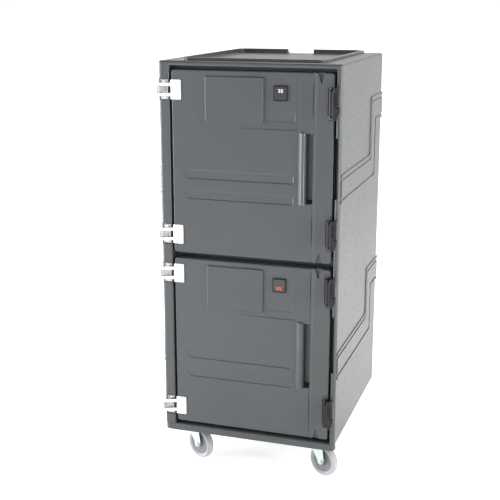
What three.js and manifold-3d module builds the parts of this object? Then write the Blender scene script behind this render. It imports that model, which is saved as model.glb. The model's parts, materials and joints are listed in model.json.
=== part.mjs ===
// Insulated two-compartment food pan carrier on casters.
// Millimetres, +Z up, the doors face -Y, origin on the floor at the middle of the whole cart.
import * as THREE from 'three';
import { mergeVertices } from 'three/addons/utils/BufferGeometryUtils.js';
import Module from 'manifold-3d';

const wasm = await Module();
wasm.setup();

// ---------------------------------------------------------------- driving sizes
const bodyWidth = 720; // outside, over the raised side bands
const bodyDepth = 770; // moulded cabinet, front frame to rear wall
const frontProud = 36; // the latches' thumb tabs stand this far in front of the frame
const rearProud = 44; // rear handles and bumper foot stand this far behind the wall
const totalHeight = 1635; // floor to the cabinet's top shoulders
const casterHeight = 166; // floor to the top of a caster plate
const fitGap = 0.3; // between pieces that touch

// cabinet moulding
const bandRise = 4; // raised side bands above the side wall
const bandArm = 110; // height of a side band's arms
const bandUprightFront = 146; // a band's upright starts this far behind the middle plane
const bandUprightWidth = 105;
const upperBand = { belowTop: 163, drop: 238 }; // cart's top to the rear arm, rear arm to the front arm
const lowerBand = { belowTop: 890, drop: 202 };
const skin = 5; // moulded wall
const cornerRadius = 20; // upright corners of the cabinet
const lipDrop = 31; // front lip below the cabinet floor
const lipDepth = 36;
const pillarLeft = 48; // frame width on the hinge side
const pillarRight = 24; // frame width on the latch side
const topRail = 18; // frame above the upper door
const bayDepth = 54; // the doors sit this deep in the frame
const bayFloorRise = 2; // top of the lip above the cabinet floor
const deckDrop = 8; // recessed top deck below the shoulders
const deckRimRise = 11; // rim round the deck above the shoulders
const deckRimWidth = 14;
const deckRimSide = 86; // side wall to the deck
const deckRimFront = 52;
const deckRimRear = 30;
const deckRadius = 26;
const deckNotchWidth = 116; // gap in the rear rim
const footRise = 235; // rear bumper foot slopes out below this height above the cabinet floor
const footFull = 60; // height of the foot's upright part
const footChamfer = 8;

// doors
const doorGapTop = 14; // top rail to upper door
const doorGapBottom = 13; // lip to lower door
const doorGapMiddle = 22; // between the doors
const doorGapLeft = 8; // hinge pillar to door
const doorGapRight = 8; // latch pillar to door
const lowerDoorHeight = 692;
const doorSetback = 4; // door face behind the frame's face
const doorThickness = 46;
const doorSkin = 4;
const doorRadius = 12;

// door face details, from the door's top edge and from the cart's middle plane
const cardLeft = -160;
const cardWidth = 212;
const cardTop = 30;
const cardHeight = 155;
const cardDepth = 2.5;
const displayCentreX = 126;
const displayTop = 50;
const displayWidth = 54;
const displayHeight = 56;
const displayProud = 2.7; // display flange in front of the door's face
const displayFlange = 3; // flange beyond the hole in the door
const displayBody = 22; // depth of the display's body behind the door's face
const lensBorder = 4;
const lensSeat = 1.6; // depth of the lens's seat in the flange
const nicheLeft = 68;
const nicheWidth = 116;
const nicheTop = 145;
const nicheHeight = 40;
const nicheDepth = 3;
const gripLeft = 197;
const gripWidth = 54;
const gripTop = 222;
const gripHeight = 263;
const gripDepth = 30;
const gripBarWidth = 27;
const gripBarDepth = 14;
const gripBarBulge = 6; // round front of the bar
const edgeNotchX = 279;
const edgeNotchWidth = 26;
const edgeNotchHeight = 36;
const edgeNotchDepth = 10;
const fingerSlotHeight = 226; // hand gap between a door's edge and the latch pillar
const fingerSlotTop = { upper: 234, lower: 184 }; // door's top edge to its finger slot
const fingerSlotWidth = 10;
const fingerSlotDepth = 40;

// compartments
const liner = 3;
const compartmentWidth = 544;
const rearWall = 47; // liner's rear face to the outside of the rear wall
const mouthTop = 32; // door edge to compartment mouth, at its top
const mouthBottom = 35; // and at its bottom
const gasketWidth = 12;
const gasketOverlap = 8; // gasket outside the mouth
const gasketRadius = 14;

// pan rail racks
const panWidth = 457;
const panClearance = 15;
const railReach = 20;
const railPitch = 74;
const railThickness = 3;
const rackPanel = 4;
const rackFlange = 12;
const rackFrontGap = 22;
const rackRearGap = 34;

// hinges
const hingeHeight = 75;
const hingeInset = { upper: [75, 73], lower: [63, 68] }; // hinge centres from a door's top and bottom edge
const pinRadius = 3;
const knuckleRadius = 6;
const pinFromSide = 7; // pin axis in from the side of the cart
const pinFromFace = 15; // pin axis in front of the frame
const leafWidth = 50;
const leafThickness = 3;
const armHeight = 12;
const armOffset = 19; // arm centre above and below the hinge centre
const hingeSeat = 5; // the hinge pillar is cut back this far behind each hinge
const hingeSeatMargin = 4; // above and below the hinge
const screwRadius = 4.5;
const screwProud = 0.8;
const screwFromCentre = 22;
const bracketInset = 8; // bracket's plate in from the side of the cart
const bracketWidth = 25;
const bracketWeb = 4;

// latches
const latchHeight = 118;
const latchInset = { upper: [107, 116], lower: [84, 118] }; // latch centres from a door's top and bottom edge
const latchPivotX = 319;
const latchPivotFromFace = 15;
const latchBaseWidth = 14;
const latchBaseShort = 7; // base's end inside the latch's end
const latchBarrelRadius = 7;
const latchPinRadius = 3;
const latchEarHeight = 10;
const leverReach = 38;
const leverThickness = 16;
const thumbTabProud = 5;
const keeperWidth = 13;
const keeperBehindPivot = 5;
const keeperShort = 12; // keeper's end inside the latch's end
const runClearance = 0.4;

// casters
const wheelRadius = 63.5;
const wheelWidth = 32;
const axleRadius = 5;
const trail = 42;
const casterX = 263;
const casterFromFront = 88;
const casterTurn = 62; // degrees, how the front casters stand at rest
const rearCasterX = 250;
const rearCasterFromRear = 95;
const plateWidth = 86;
const plateLength = 102;
const plateThickness = 4;
const forkPlate = 4;
const pedalPivot = [-34, 138]; // from the swivel axis on the wheel's side, and above the floor
const pedalPinRadius = 3;
const pedalReach = 54; // from the pivot to the toe's end
const pedalArmWidth = 28;
const pedalToeWidth = 36;
const bearingCupRadius = 33;
const bearingCupHeight = 5.5; // below the plate
const crownRadius = 31;
const crownThickness = 5;
const frontLegTop = [-46, 30]; // reach of a swivel fork's legs along the fork, at their top
const rearLegTop = [-34, 34]; // the same on a fixed fork
const boltHeadRadius = 9;
const boltHead = 6;

// rear modules and handles
const moduleWidth = 380;
const moduleHeight = 280;
const moduleDepth = 38;
const moduleWall = 3;
const neckWidth = 260;
const neckHeight = 180;
const moduleBelowMouth = 170; // module centre below the top of its compartment
const louvreCount = 7;
const louvreHeight = 8;
const louvrePitch = 19;
const louvreFromBottom = 40;
const louvreMargin = 60; // louvre's end to the module's side
const moduleRadius = 14;
const fanRadius = 56;
const fanHubRadius = 17;
const fanBlades = 7;
const fanBladePitch = 35; // degrees
const fanFront = 10; // fan's front face behind the rear wall
const fanThickness = 18;
const finPitch = 20;
const finThickness = 3;
const finHeight = 120;
const heaterBar = 8; // section of the heater's bars
const heaterRow = 32; // pitch of the heater's bars
const inletWidth = 50;
const inletHeight = 28;
const inletRaise = 10; // inlet's lower edge above the bottom of the lower module
const inletFromSide = 20;
const inletDepth = 26;
const inletRim = 4;
const handleX = 300;
const handleBottom = 786;
const handleTop = 1349;
const handleWidth = 30;
const handleBar = 16;
const handleEnd = 50; // height of a handle's foot on the wall
const handleSlope = 20; // the hand gap narrows by this much at each end

// ---------------------------------------------------------------- derived places
const frontY = -(bodyDepth + frontProud + rearProud) / 2 + frontProud;
const rearY = frontY + bodyDepth;
const halfWidth = bodyWidth / 2;
const wallX = halfWidth - bandRise;
const bodyBottom = casterHeight + fitGap;
const lipBottom = bodyBottom - lipDrop;
const bayBottom = bodyBottom + bayFloorRise;
const bayTop = totalHeight - topRail;
const bayBack = frontY + bayDepth;
const bayLeft = -halfWidth + pillarLeft;
const bayRight = halfWidth - pillarRight;
const doorLeft = bayLeft + doorGapLeft;
const doorRight = bayRight - doorGapRight;
const doorFront = frontY + doorSetback;
const doorBack = doorFront + doorThickness;
const lowerDoor = { name: 'lower', z0: bayBottom + doorGapBottom };
lowerDoor.z1 = lowerDoor.z0 + lowerDoorHeight;
const upperDoor = { name: 'upper', z0: lowerDoor.z1 + doorGapMiddle, z1: bayTop - doorGapTop };
const linerBack = rearY - rearWall;
const pinX = -halfWidth + pinFromSide;
const pinY = frontY - pinFromFace;
const latchPivotY = frontY - latchPivotFromFace;

for (const door of [lowerDoor, upperDoor]) {
  door.mouth0 = door.z0 + mouthBottom;
  door.mouth1 = door.z1 - mouthTop;
  door.moduleZ = door.mouth1 - moduleBelowMouth;
  const [hingeTop, hingeBottom] = hingeInset[door.name];
  const [latchTop, latchBottom] = latchInset[door.name];
  door.hinges = [door.z1 - hingeTop, door.z0 + hingeBottom];
  door.latches = [door.z1 - latchTop, door.z0 + latchBottom];
  door.slotTop = door.z1 - fingerSlotTop[door.name];
}

// ---------------------------------------------------------------- materials
function finish(color, roughness, metalness) {
  return new THREE.MeshStandardMaterial({ color, roughness, metalness });
}

const charcoal = finish(0x55585a, 0.6, 0.0);
const foamYellow = finish(0xd8c890, 0.95, 0.0);
const linerGrey = finish(0x6b6e70, 0.55, 0.0);
const rackGrey = finish(0x3f4244, 0.5, 0.0);
const gasketBlack = finish(0x1b1c1d, 0.85, 0.0);
const stainless = finish(0xdedfdc, 0.3, 0.9);
const nylonBlack = finish(0x26282b, 0.45, 0.0);
const displayBlack = finish(0x0b0c0d, 0.25, 0.0);
const zinc = finish(0xc9d3cf, 0.35, 0.85);
const treadGrey = finish(0xa9a9ab, 0.6, 0.0);
const moduleGrey = finish(0x3a3d40, 0.5, 0.0);
const aluminium = finish(0xb9bcbf, 0.35, 0.9);

// ---------------------------------------------------------------- solid helpers
function solidOf(geometry) {
  const bare = geometry.index ? geometry : mergeVertices(geometry);
  bare.deleteAttribute('normal');
  bare.deleteAttribute('uv');
  const merged = mergeVertices(bare, 1e-4);
  const solid = new wasm.Manifold(new wasm.Mesh({
    numProp: 3,
    vertProperties: new Float32Array(merged.attributes.position.array),
    triVerts: new Uint32Array(merged.index.array),
  }));
  return solid;
}

function box(x0, x1, y0, y1, z0, z1) {
  const geometry = new THREE.BoxGeometry(x1 - x0, y1 - y0, z1 - z0);
  geometry.translate((x0 + x1) / 2, (y0 + y1) / 2, (z0 + z1) / 2);
  return solidOf(geometry);
}

// Turns a geometry made along +Z so that its Z runs along the named axis:
// 'z' keeps X and Y, 'x' maps shape (u, v) to (y, z), 'y' maps shape (u, v) to (x, z).
function layAlong(geometry, axis) {
  const turn = new THREE.Matrix4();
  if (axis === 'x') turn.set(0, 0, 1, 0, 1, 0, 0, 0, 0, 1, 0, 0, 0, 0, 0, 1);
  if (axis === 'y') turn.set(-1, 0, 0, 0, 0, 0, 1, 0, 0, 1, 0, 0, 0, 0, 0, 1);
  geometry.applyMatrix4(turn);
  return geometry;
}

// A flat outline given as [u, v] points, extruded from low to high along an axis.
function slab(points, axis, low, high) {
  const mirrored = axis === 'y' ? points.map(([u, v]) => [-u, v]) : points;
  const outline = new THREE.Shape(mirrored.map(([u, v]) => new THREE.Vector2(u, v)));
  const geometry = new THREE.ExtrudeGeometry(outline, { depth: high - low, bevelEnabled: false });
  geometry.translate(0, 0, low);
  return solidOf(layAlong(geometry, axis));
}

function roundedPoints(u0, u1, v0, v1, radius, steps = 3) {
  const centres = [[u1 - radius, v1 - radius], [u0 + radius, v1 - radius],
    [u0 + radius, v0 + radius], [u1 - radius, v0 + radius]];
  const points = [];
  centres.forEach(([cu, cv], quarter) => {
    for (let step = 0; step <= steps; step += 1) {
      const angle = (quarter + step / steps) * Math.PI / 2;
      points.push([cu + radius * Math.cos(angle), cv + radius * Math.sin(angle)]);
    }
  });
  return points;
}

function roundedBox(axis, [u0, u1, v0, v1], low, high, radius) {
  return slab(roundedPoints(u0, u1, v0, v1, radius), axis, low, high);
}

function rod(axis, [cx, cy, cz], radius, length, sides = 16) {
  const geometry = new THREE.CylinderGeometry(radius, radius, length, sides);
  geometry.rotateX(Math.PI / 2);
  if (axis !== 'z') layAlong(geometry, axis);
  geometry.translate(cx, cy, cz);
  return solidOf(geometry);
}

function turned(profile, sides) {
  const points = profile.map(([r, h]) => new THREE.Vector2(r, h));
  return solidOf(new THREE.LatheGeometry(points, sides).rotateX(Math.PI / 2));
}

function joined(...solids) {
  return solids.reduce((whole, piece) => whole.add(piece));
}

const cart = new THREE.Group();

function addPiece(name, solid, material, parent = cart) {
  const mesh = solid.getMesh();
  const geometry = new THREE.BufferGeometry();
  geometry.setAttribute('position', new THREE.BufferAttribute(new Float32Array(mesh.vertProperties), 3));
  geometry.setIndex(new THREE.BufferAttribute(new Uint32Array(mesh.triVerts), 1));
  geometry.computeVertexNormals();
  const piece = new THREE.Mesh(geometry, material);
  piece.name = name;
  parent.add(piece);
  return piece;
}

// ---------------------------------------------------------------- cabinet
// One Z-shaped raised band on a side wall: rear arm high, front arm low, joined by an upright.
function sideBand({ belowTop, drop }) {
  const rearTop = totalHeight - belowTop;
  const frontTop = rearTop - drop;
  const uprightRear = bandUprightFront + bandUprightWidth;
  const rearEnd = rearY - cornerRadius;
  const frontEnd = frontY + cornerRadius;
  return [
    [rearEnd, rearTop], [bandUprightFront, rearTop], [bandUprightFront, frontTop], [frontEnd, frontTop],
    [frontEnd, frontTop - bandArm], [uprightRear, frontTop - bandArm],
    [uprightRear, rearTop - bandArm], [rearEnd, rearTop - bandArm],
  ];
}

function cabinetOutside() {
  const plan = [-wallX, wallX, frontY, rearY];
  const block = roundedBox('z', plan, bodyBottom, totalHeight, cornerRadius);
  const lipPlan = [-wallX, wallX, frontY, frontY + lipDepth];
  const lip = roundedBox('z', lipPlan, lipBottom, bodyBottom + skin, lipDepth / 2 - 1);
  const footX = wallX - cornerRadius / 2;
  const footY = rearY + rearProud;
  const foot = slab([
    [rearY - cornerRadius, bodyBottom], [footY - footChamfer, bodyBottom],
    [footY, bodyBottom + footChamfer], [footY, bodyBottom + footFull],
    [rearY, bodyBottom + footRise], [rearY - cornerRadius, bodyBottom + footRise],
  ], 'x', -footX, footX);
  const bands = [upperBand, lowerBand].flatMap((band) => {
    const outline = sideBand(band);
    return [slab(outline, 'x', wallX - bandRise, halfWidth), slab(outline, 'x', -halfWidth, -wallX + bandRise)];
  });
  return joined(block, lip, foot, ...bands);
}

function cabinetShell() {
  const bay = box(bayLeft, bayRight, frontY - 10, bayBack, bayBottom, bayTop);
  const deckPlan = [-wallX + deckRimSide, wallX - deckRimSide, frontY + deckRimFront, rearY - deckRimRear];
  const rimPlan = deckPlan.map((edge) => edge + Math.sign(edge) * deckRimWidth);
  const rimTop = totalHeight + deckRimRise;
  const rim = roundedBox('z', rimPlan, totalHeight - deckDrop, rimTop, deckRadius + deckRimWidth);
  const deck = roundedBox('z', deckPlan, totalHeight - deckDrop, rimTop + 1, deckRadius);
  const notch = box(-deckNotchWidth / 2, deckNotchWidth / 2, rearY - deckRimRear - 10, rearY + 1,
    totalHeight - deckDrop, rimTop + 1);
  let shell = cabinetOutside().add(rim).subtract(bay).subtract(deck).subtract(notch);
  shell = shell.subtract(foamSpace(0));
  for (const door of [lowerDoor, upperDoor]) {
    const half = compartmentWidth / 2 + liner + fitGap;
    shell = shell.subtract(box(-half, half, bayBack - 1, rearY - skin - 1,
      door.mouth0 - liner - fitGap, door.mouth1 + liner + fitGap));
    shell = shell.subtract(neck(door, fitGap, linerBack - 10, rearY + 1));
    for (const z of door.hinges) {
      const reach = hingeHeight / 2 + hingeSeatMargin;
      const seat = box(-halfWidth - 1, bayLeft + 1, frontY - 1, frontY + hingeSeat, z - reach, z + reach);
      shell = shell.subtract(seat);
    }
    shell = shell.subtract(box(bayRight - 1, bayRight + fingerSlotWidth, frontY - 1, frontY + fingerSlotDepth,
      door.slotTop - fingerSlotHeight, door.slotTop));
  }
  return shell;
}

// The room for foam inside the cabinet moulding, made smaller all round by an inset.
function foamSpace(inset) {
  const grow = skin + inset;
  return box(-wallX + grow, wallX - grow, bayBack + grow, rearY - grow,
    bodyBottom + grow, totalHeight - deckDrop - grow);
}

function neck(door, clearance, y0, y1) {
  const halfW = neckWidth / 2 + clearance;
  const halfH = neckHeight / 2 + clearance;
  return box(-halfW, halfW, y0, y1, door.moduleZ - halfH, door.moduleZ + halfH);
}

function linerOutside(door, clearance) {
  const half = compartmentWidth / 2 + liner + clearance;
  return box(-half, half, bayBack, linerBack + liner + clearance,
    door.mouth0 - liner - clearance, door.mouth1 + liner + clearance);
}

function cabinetFoam() {
  let foam = foamSpace(fitGap);
  for (const door of [lowerDoor, upperDoor]) {
    foam = foam.subtract(linerOutside(door, fitGap));
    foam = foam.subtract(neck(door, fitGap, linerBack - 10, rearY));
  }
  return foam;
}

function compartmentLiner(door) {
  const half = compartmentWidth / 2;
  const inside = box(-half, half, bayBack - 1, linerBack, door.mouth0, door.mouth1);
  return linerOutside(door, 0).subtract(inside).subtract(neck(door, fitGap, linerBack - 10, rearY));
}

// ---------------------------------------------------------------- pan rail rack
function rack(door, side) {
  const wall = compartmentWidth / 2 - fitGap;
  const face = panWidth / 2 + panClearance / 2;
  const top = door.mouth1 - rackFlange;
  const bottom = door.mouth0 + fitGap;
  const count = Math.floor((top - bottom - rackFlange) / railPitch);
  const points = [[wall, bottom], [wall, bottom + railThickness]];
  points.push([face + rackPanel, bottom + railThickness]);
  points.push([face + rackPanel, top - railThickness], [wall, top - railThickness], [wall, top], [face, top]);
  for (let rail = count; rail >= 1; rail -= 1) {
    const z = bottom + rail * railPitch;
    points.push([face, z], [face - railReach, z], [face - railReach, z - railThickness]);
    points.push([face, z - railThickness]);
  }
  points.push([face, bottom]);
  const outline = points.map(([u, v]) => [side * u, v]);
  return slab(outline, 'y', bayBack + rackFrontGap, linerBack - rackRearGap);
}

// ---------------------------------------------------------------- doors
function gripBox(door, grow) {
  return box(gripLeft - grow, gripLeft + gripWidth + grow, doorFront - 1, doorFront + gripDepth + grow,
    door.z1 - gripTop - gripHeight - grow, door.z1 - gripTop + grow);
}

function displayBox(door, grow, depth) {
  const halfW = displayWidth / 2 - displayFlange + grow;
  const top = door.z1 - displayTop - displayFlange;
  const bottom = door.z1 - displayTop - displayHeight + displayFlange;
  return box(displayCentreX - halfW, displayCentreX + halfW, doorFront - 1, doorFront + depth,
    bottom - grow, top + grow);
}

function doorSpace(door, inset) {
  const grow = doorSkin + inset;
  const space = box(doorLeft + grow, doorRight - grow, doorFront + grow, doorBack - grow,
    door.z0 + grow, door.z1 - grow);
  return space.subtract(gripBox(door, grow));
}

function edgeNotch(door, atTop) {
  const z = atTop ? door.z1 + 1 : door.z0 - 1;
  const tip = atTop ? door.z1 - edgeNotchHeight : door.z0 + edgeNotchHeight;
  const half = edgeNotchWidth / 2;
  const outline = [[edgeNotchX - half, z], [edgeNotchX + half, z], [edgeNotchX, tip]];
  return slab(atTop ? outline : outline.reverse(), 'y', doorFront - 1, doorFront + edgeNotchDepth);
}

function doorShell(door) {
  let shell = roundedBox('y', [doorLeft, doorRight, door.z0, door.z1], doorFront, doorBack, doorRadius);
  const card = box(cardLeft, cardLeft + cardWidth, doorFront - 1, doorFront + cardDepth,
    door.z1 - cardTop - cardHeight, door.z1 - cardTop);
  const niche = box(nicheLeft, nicheLeft + nicheWidth, doorFront - 1, doorFront + nicheDepth,
    door.z1 - nicheTop - nicheHeight, door.z1 - nicheTop);
  const notchWalls = [true, false].map((atTop) => {
    const z = atTop ? door.z1 - edgeNotchHeight / 2 : door.z0 + edgeNotchHeight / 2;
    return box(edgeNotchX - edgeNotchWidth, edgeNotchX + edgeNotchWidth, doorFront + 1,
      doorFront + edgeNotchDepth + doorSkin, z - edgeNotchHeight / 2 + doorRadius, z + edgeNotchHeight / 2);
  });
  shell = shell.subtract(doorSpace(door, 0).subtract(joined(...notchWalls)));
  shell = shell.subtract(gripBox(door, 0)).subtract(card).subtract(niche);
  shell = shell.subtract(edgeNotch(door, true)).subtract(edgeNotch(door, false));
  shell = shell.subtract(displayBox(door, fitGap, doorSkin + 1));
  return shell.add(gripBar(door));
}

// The round-fronted bar that crosses the left half of the grip pocket from top to bottom.
function gripBar(door) {
  const half = gripBarWidth / 2;
  const middle = gripLeft + half;
  const steps = 6;
  const outline = [[gripLeft - 1, doorFront + gripBarBulge]];
  for (let step = 0; step <= steps; step += 1) {
    const angle = Math.PI * (1 + step / steps);
    outline.push([middle + half * Math.cos(angle), doorFront + gripBarBulge * (1 + Math.sin(angle))]);
  }
  outline.push([gripLeft + gripBarWidth, doorFront + gripBarDepth]);
  outline.push([gripLeft - 1, doorFront + gripBarDepth]);
  return slab(outline, 'z', door.z1 - gripTop - gripHeight - 1, door.z1 - gripTop + 1);
}

function doorFoam(door) {
  const notchRoom = [true, false].map((atTop) => {
    const z = atTop ? door.z1 - edgeNotchHeight / 2 : door.z0 + edgeNotchHeight / 2;
    return box(edgeNotchX - edgeNotchWidth - fitGap, edgeNotchX + edgeNotchWidth + fitGap, doorFront,
      doorFront + edgeNotchDepth + doorSkin + fitGap, z - edgeNotchHeight / 2 - 1, z + edgeNotchHeight / 2 + 1);
  });
  const displayRoom = displayBox(door, fitGap, displayBody + 2);
  return doorSpace(door, fitGap).subtract(joined(...notchRoom)).subtract(displayRoom);
}

function doorGasket(door) {
  const half = compartmentWidth / 2 + gasketOverlap + gasketWidth;
  const z0 = door.mouth0 - gasketOverlap - gasketWidth;
  const z1 = door.mouth1 + gasketOverlap + gasketWidth;
  const outer = roundedBox('y', [-half, half, z0, z1], doorBack + fitGap, bayBack - fitGap, gasketRadius);
  const hole = [-half + gasketWidth, half - gasketWidth, z0 + gasketWidth, z1 - gasketWidth];
  return outer.subtract(roundedBox('y', hole, doorBack, bayBack, gasketRadius / 3));
}

function displayHousing(door) {
  const front = doorFront - fitGap - displayProud;
  const top = door.z1 - displayTop;
  const bottom = top - displayHeight;
  const x0 = displayCentreX - displayWidth / 2;
  const x1 = x0 + displayWidth;
  const flange = roundedBox('y', [x0, x1, bottom, top], front, doorFront - fitGap, lensBorder);
  const behindFlange = box(x0, x1, front + 1, doorBack, bottom, top);
  const body = displayBox(door, 0, displayBody).intersect(behindFlange);
  const seat = box(x0 + lensBorder, x1 - lensBorder, front - 1, front + lensSeat,
    bottom + lensBorder, top - lensBorder);
  return flange.add(body).subtract(seat);
}

function displayLens(door) {
  const front = doorFront - fitGap - displayProud;
  const top = door.z1 - displayTop;
  const border = lensBorder + fitGap;
  const x0 = displayCentreX - displayWidth / 2;
  return box(x0 + border, x0 + displayWidth - border, front, front + lensSeat - fitGap,
    top - displayHeight + border, top - border);
}

// ---------------------------------------------------------------- hinges
// An arm from the door's edge out to the pin, widening towards the pin.
function hingeArm(centre) {
  const y1 = doorFront - fitGap;
  const outline = [[doorLeft, y1], [doorLeft, y1 - leafThickness - 1],
    [pinX, pinY - leafThickness], [pinX, pinY + leafThickness]];
  return slab(outline, 'z', centre - armHeight / 2, centre + armHeight / 2);
}

function hingeLeaf(z) {
  const half = hingeHeight / 2;
  const y1 = doorFront - fitGap;
  const plan = [doorLeft - leafThickness, doorLeft + leafWidth, z - half, z + half];
  let leaf = roundedBox('y', plan, y1 - leafThickness, y1, leafThickness);
  for (const side of [-1, 1]) {
    const centre = z + side * armOffset;
    const knuckle = rod('z', [pinX, pinY, centre], knuckleRadius, armHeight, 12);
    const screwMiddle = y1 - leafThickness / 2 - screwProud / 2;
    const screwPlace = [doorLeft + leafWidth * 0.6, screwMiddle, z + side * screwFromCentre];
    const screw = rod('y', screwPlace, screwRadius, leafThickness + screwProud, 12);
    leaf = joined(leaf, hingeArm(centre), knuckle, screw);
  }
  return leaf.subtract(rod('z', [pinX, pinY, z], pinRadius + runClearance, hingeHeight + 4, 12));
}

function hingeBracket(z) {
  const half = hingeHeight / 2;
  const seat = frontY + hingeSeat - fitGap;
  const plateX = -halfWidth + bracketInset;
  const plate = box(plateX, plateX + bracketWidth, seat - leafThickness, seat, z - half, z + half);
  const knuckleHalf = armOffset - armHeight / 2 - runClearance;
  const web = box(pinX - bracketWeb / 2, plateX + bracketWeb, pinY, seat, z - knuckleHalf, z + knuckleHalf);
  const knuckle = rod('z', [pinX, pinY, z], knuckleRadius, 2 * knuckleHalf, 12);
  const pin = rod('z', [pinX, pinY, z], pinRadius, 2 * (armOffset + armHeight / 2) + 4, 12);
  return joined(plate, web, knuckle, pin);
}

// ---------------------------------------------------------------- latches
function latchBase(z) {
  const half = latchHeight / 2 - latchBaseShort;
  const x0 = latchPivotX - latchBaseWidth / 2;
  const blockFront = latchPivotY + latchBarrelRadius + 1;
  const ear = [latchPivotX - latchBarrelRadius, latchPivotX + latchBarrelRadius];
  let base = roundedBox('y', [x0, x0 + latchBaseWidth, z - half, z + half], blockFront, doorFront - fitGap, 4);
  for (const side of [-1, 1]) {
    const centre = z + side * (half - latchEarHeight / 2);
    const low = centre - latchEarHeight / 2;
    base = base.add(rod('z', [latchPivotX, latchPivotY, centre], latchBarrelRadius, latchEarHeight, 16));
    base = base.add(box(...ear, latchPivotY, blockFront + 1, low, low + latchEarHeight));
  }
  return base.add(rod('z', [latchPivotX, latchPivotY, z], latchPinRadius, 2 * half - 2, 12));
}

// The lever's face, seen from the front: a hooked top, a thumb tab on its free edge and a tapered foot.
function leverFace(z) {
  const x0 = latchPivotX + latchBarrelRadius + 1;
  const x1 = latchPivotX + leverReach;
  const foot = z - latchHeight / 2;
  const head = z + latchHeight / 2;
  return [
    [x0, foot + 12], [x0 + 6, foot], [x1 - 12, foot], [x1 - 3, foot + 24],
    [x1, foot + 30], [x1, foot + 44], [x1 - 4, foot + 52], [x1 - 4, head - 14],
    [x1 - 10, head - 3], [x1 - 16, head], [x0 + 4, head - 4], [x0, head - 14],
  ];
}

function latchLever(z) {
  const barrelHalf = latchHeight / 2 - latchBaseShort - latchEarHeight - runClearance;
  const y0 = latchPivotY - leverThickness;
  const x0 = latchPivotX + latchBarrelRadius;
  const x1 = latchPivotX + leverReach;
  const tabZ = z - latchHeight / 2 + 37;
  const barrel = rod('z', [latchPivotX, latchPivotY, z], latchBarrelRadius, 2 * barrelHalf, 16);
  const plate = slab(leverFace(z), 'y', y0, latchPivotY - 1);
  const web = box(latchPivotX, x0 + 3, y0 + 4, latchPivotY - 1, z - barrelHalf, z + barrelHalf);
  const tab = box(x1 - 14, x1 - 1, y0 - thumbTabProud, y0 + 2, tabZ - 8, tabZ + 8);
  const hook = box(x1 - 8, x1 - 4, latchPivotY - 3, latchPivotY + 9, z - 26, z + 26);
  const bore = rod('z', [latchPivotX, latchPivotY, z], latchPinRadius + runClearance, latchHeight, 12);
  return joined(barrel, plate, web, tab, hook).subtract(bore);
}

function latchKeeper(z) {
  const x1 = latchPivotX + leverReach - 8 - 2 * fitGap;
  const half = latchHeight / 2 - keeperShort;
  const plan = [x1 - keeperWidth, x1, z - half, z + half];
  return roundedBox('y', plan, latchPivotY + keeperBehindPivot, frontY - fitGap, 3);
}

// ---------------------------------------------------------------- casters
const hubHalf = wheelWidth / 2 - 2;
const webHalf = 8;
const wheelProfile = [
  [axleRadius + runClearance, -hubHalf], [18, -hubHalf], [22, -webHalf], [46, -webHalf], [50, -hubHalf],
  [wheelRadius - 5, -wheelWidth / 2], [wheelRadius - 2, -wheelWidth / 2 + 5], [wheelRadius, 0],
  [wheelRadius - 2, wheelWidth / 2 - 5], [wheelRadius - 5, wheelWidth / 2],
  [50, hubHalf], [46, webHalf], [22, webHalf], [18, hubHalf], [axleRadius + runClearance, hubHalf],
  [axleRadius + runClearance, -hubHalf],
];

function wheel() {
  return turned(wheelProfile, 24).rotate([0, 90, 0]);
}

// Legs, bridge and axle bolt around a wheel centre at wheelY; legTop holds the legs' reach at their top.
function legs(wheelY, topZ, legTop) {
  const inside = wheelWidth / 2 + 3;
  const outside = inside + forkPlate;
  const outline = [
    [wheelY - 13, wheelRadius - 12], [wheelY + 13, wheelRadius - 12], [wheelY + 18, wheelRadius + 6],
    [legTop[1], topZ - 14], [legTop[1], topZ], [legTop[0], topZ], [legTop[0], topZ - 14],
    [wheelY - 18, wheelRadius + 6],
  ];
  const sides = [slab(outline, 'x', -outside, -inside), slab(outline, 'x', inside, outside)];
  const bolt = rod('x', [0, wheelY, wheelRadius], axleRadius, 2 * outside + 2, 12);
  const heads = [-1, 1].map((side) => {
    const centre = [side * (outside + boltHead / 2), wheelY, wheelRadius];
    return rod('x', centre, boltHeadRadius, boltHead, 6);
  });
  const bridge = box(-outside, outside, ...legTop, topZ - crownThickness, topZ);
  return joined(bridge, bolt, ...sides, ...heads);
}

function mountingPlate() {
  const plan = [-plateWidth / 2, plateWidth / 2, -plateLength / 2, plateLength / 2];
  return roundedBox('z', plan, casterHeight - plateThickness, casterHeight, 8);
}

function casterPlate() {
  const cupBottom = casterHeight - plateThickness - bearingCupHeight;
  const cupHeight = bearingCupHeight + 1;
  return mountingPlate().add(rod('z', [0, 0, cupBottom + cupHeight / 2], bearingCupRadius, cupHeight, 20));
}

function swivelFork() {
  const topZ = casterHeight - plateThickness - bearingCupHeight - 4;
  const crownTop = casterHeight - plateThickness - bearingCupHeight - fitGap;
  const crown = rod('z', [0, 0, (crownTop + topZ - 1) / 2], crownRadius, crownTop - topZ + 1, 20);
  const [pivotY, pivotZ] = pedalPivot;
  const pin = rod('x', [0, pivotY, pivotZ], pedalPinRadius, wheelWidth + 12, 12);
  return joined(legs(-trail, topZ, frontLegTop), crown, pin);
}

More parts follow.
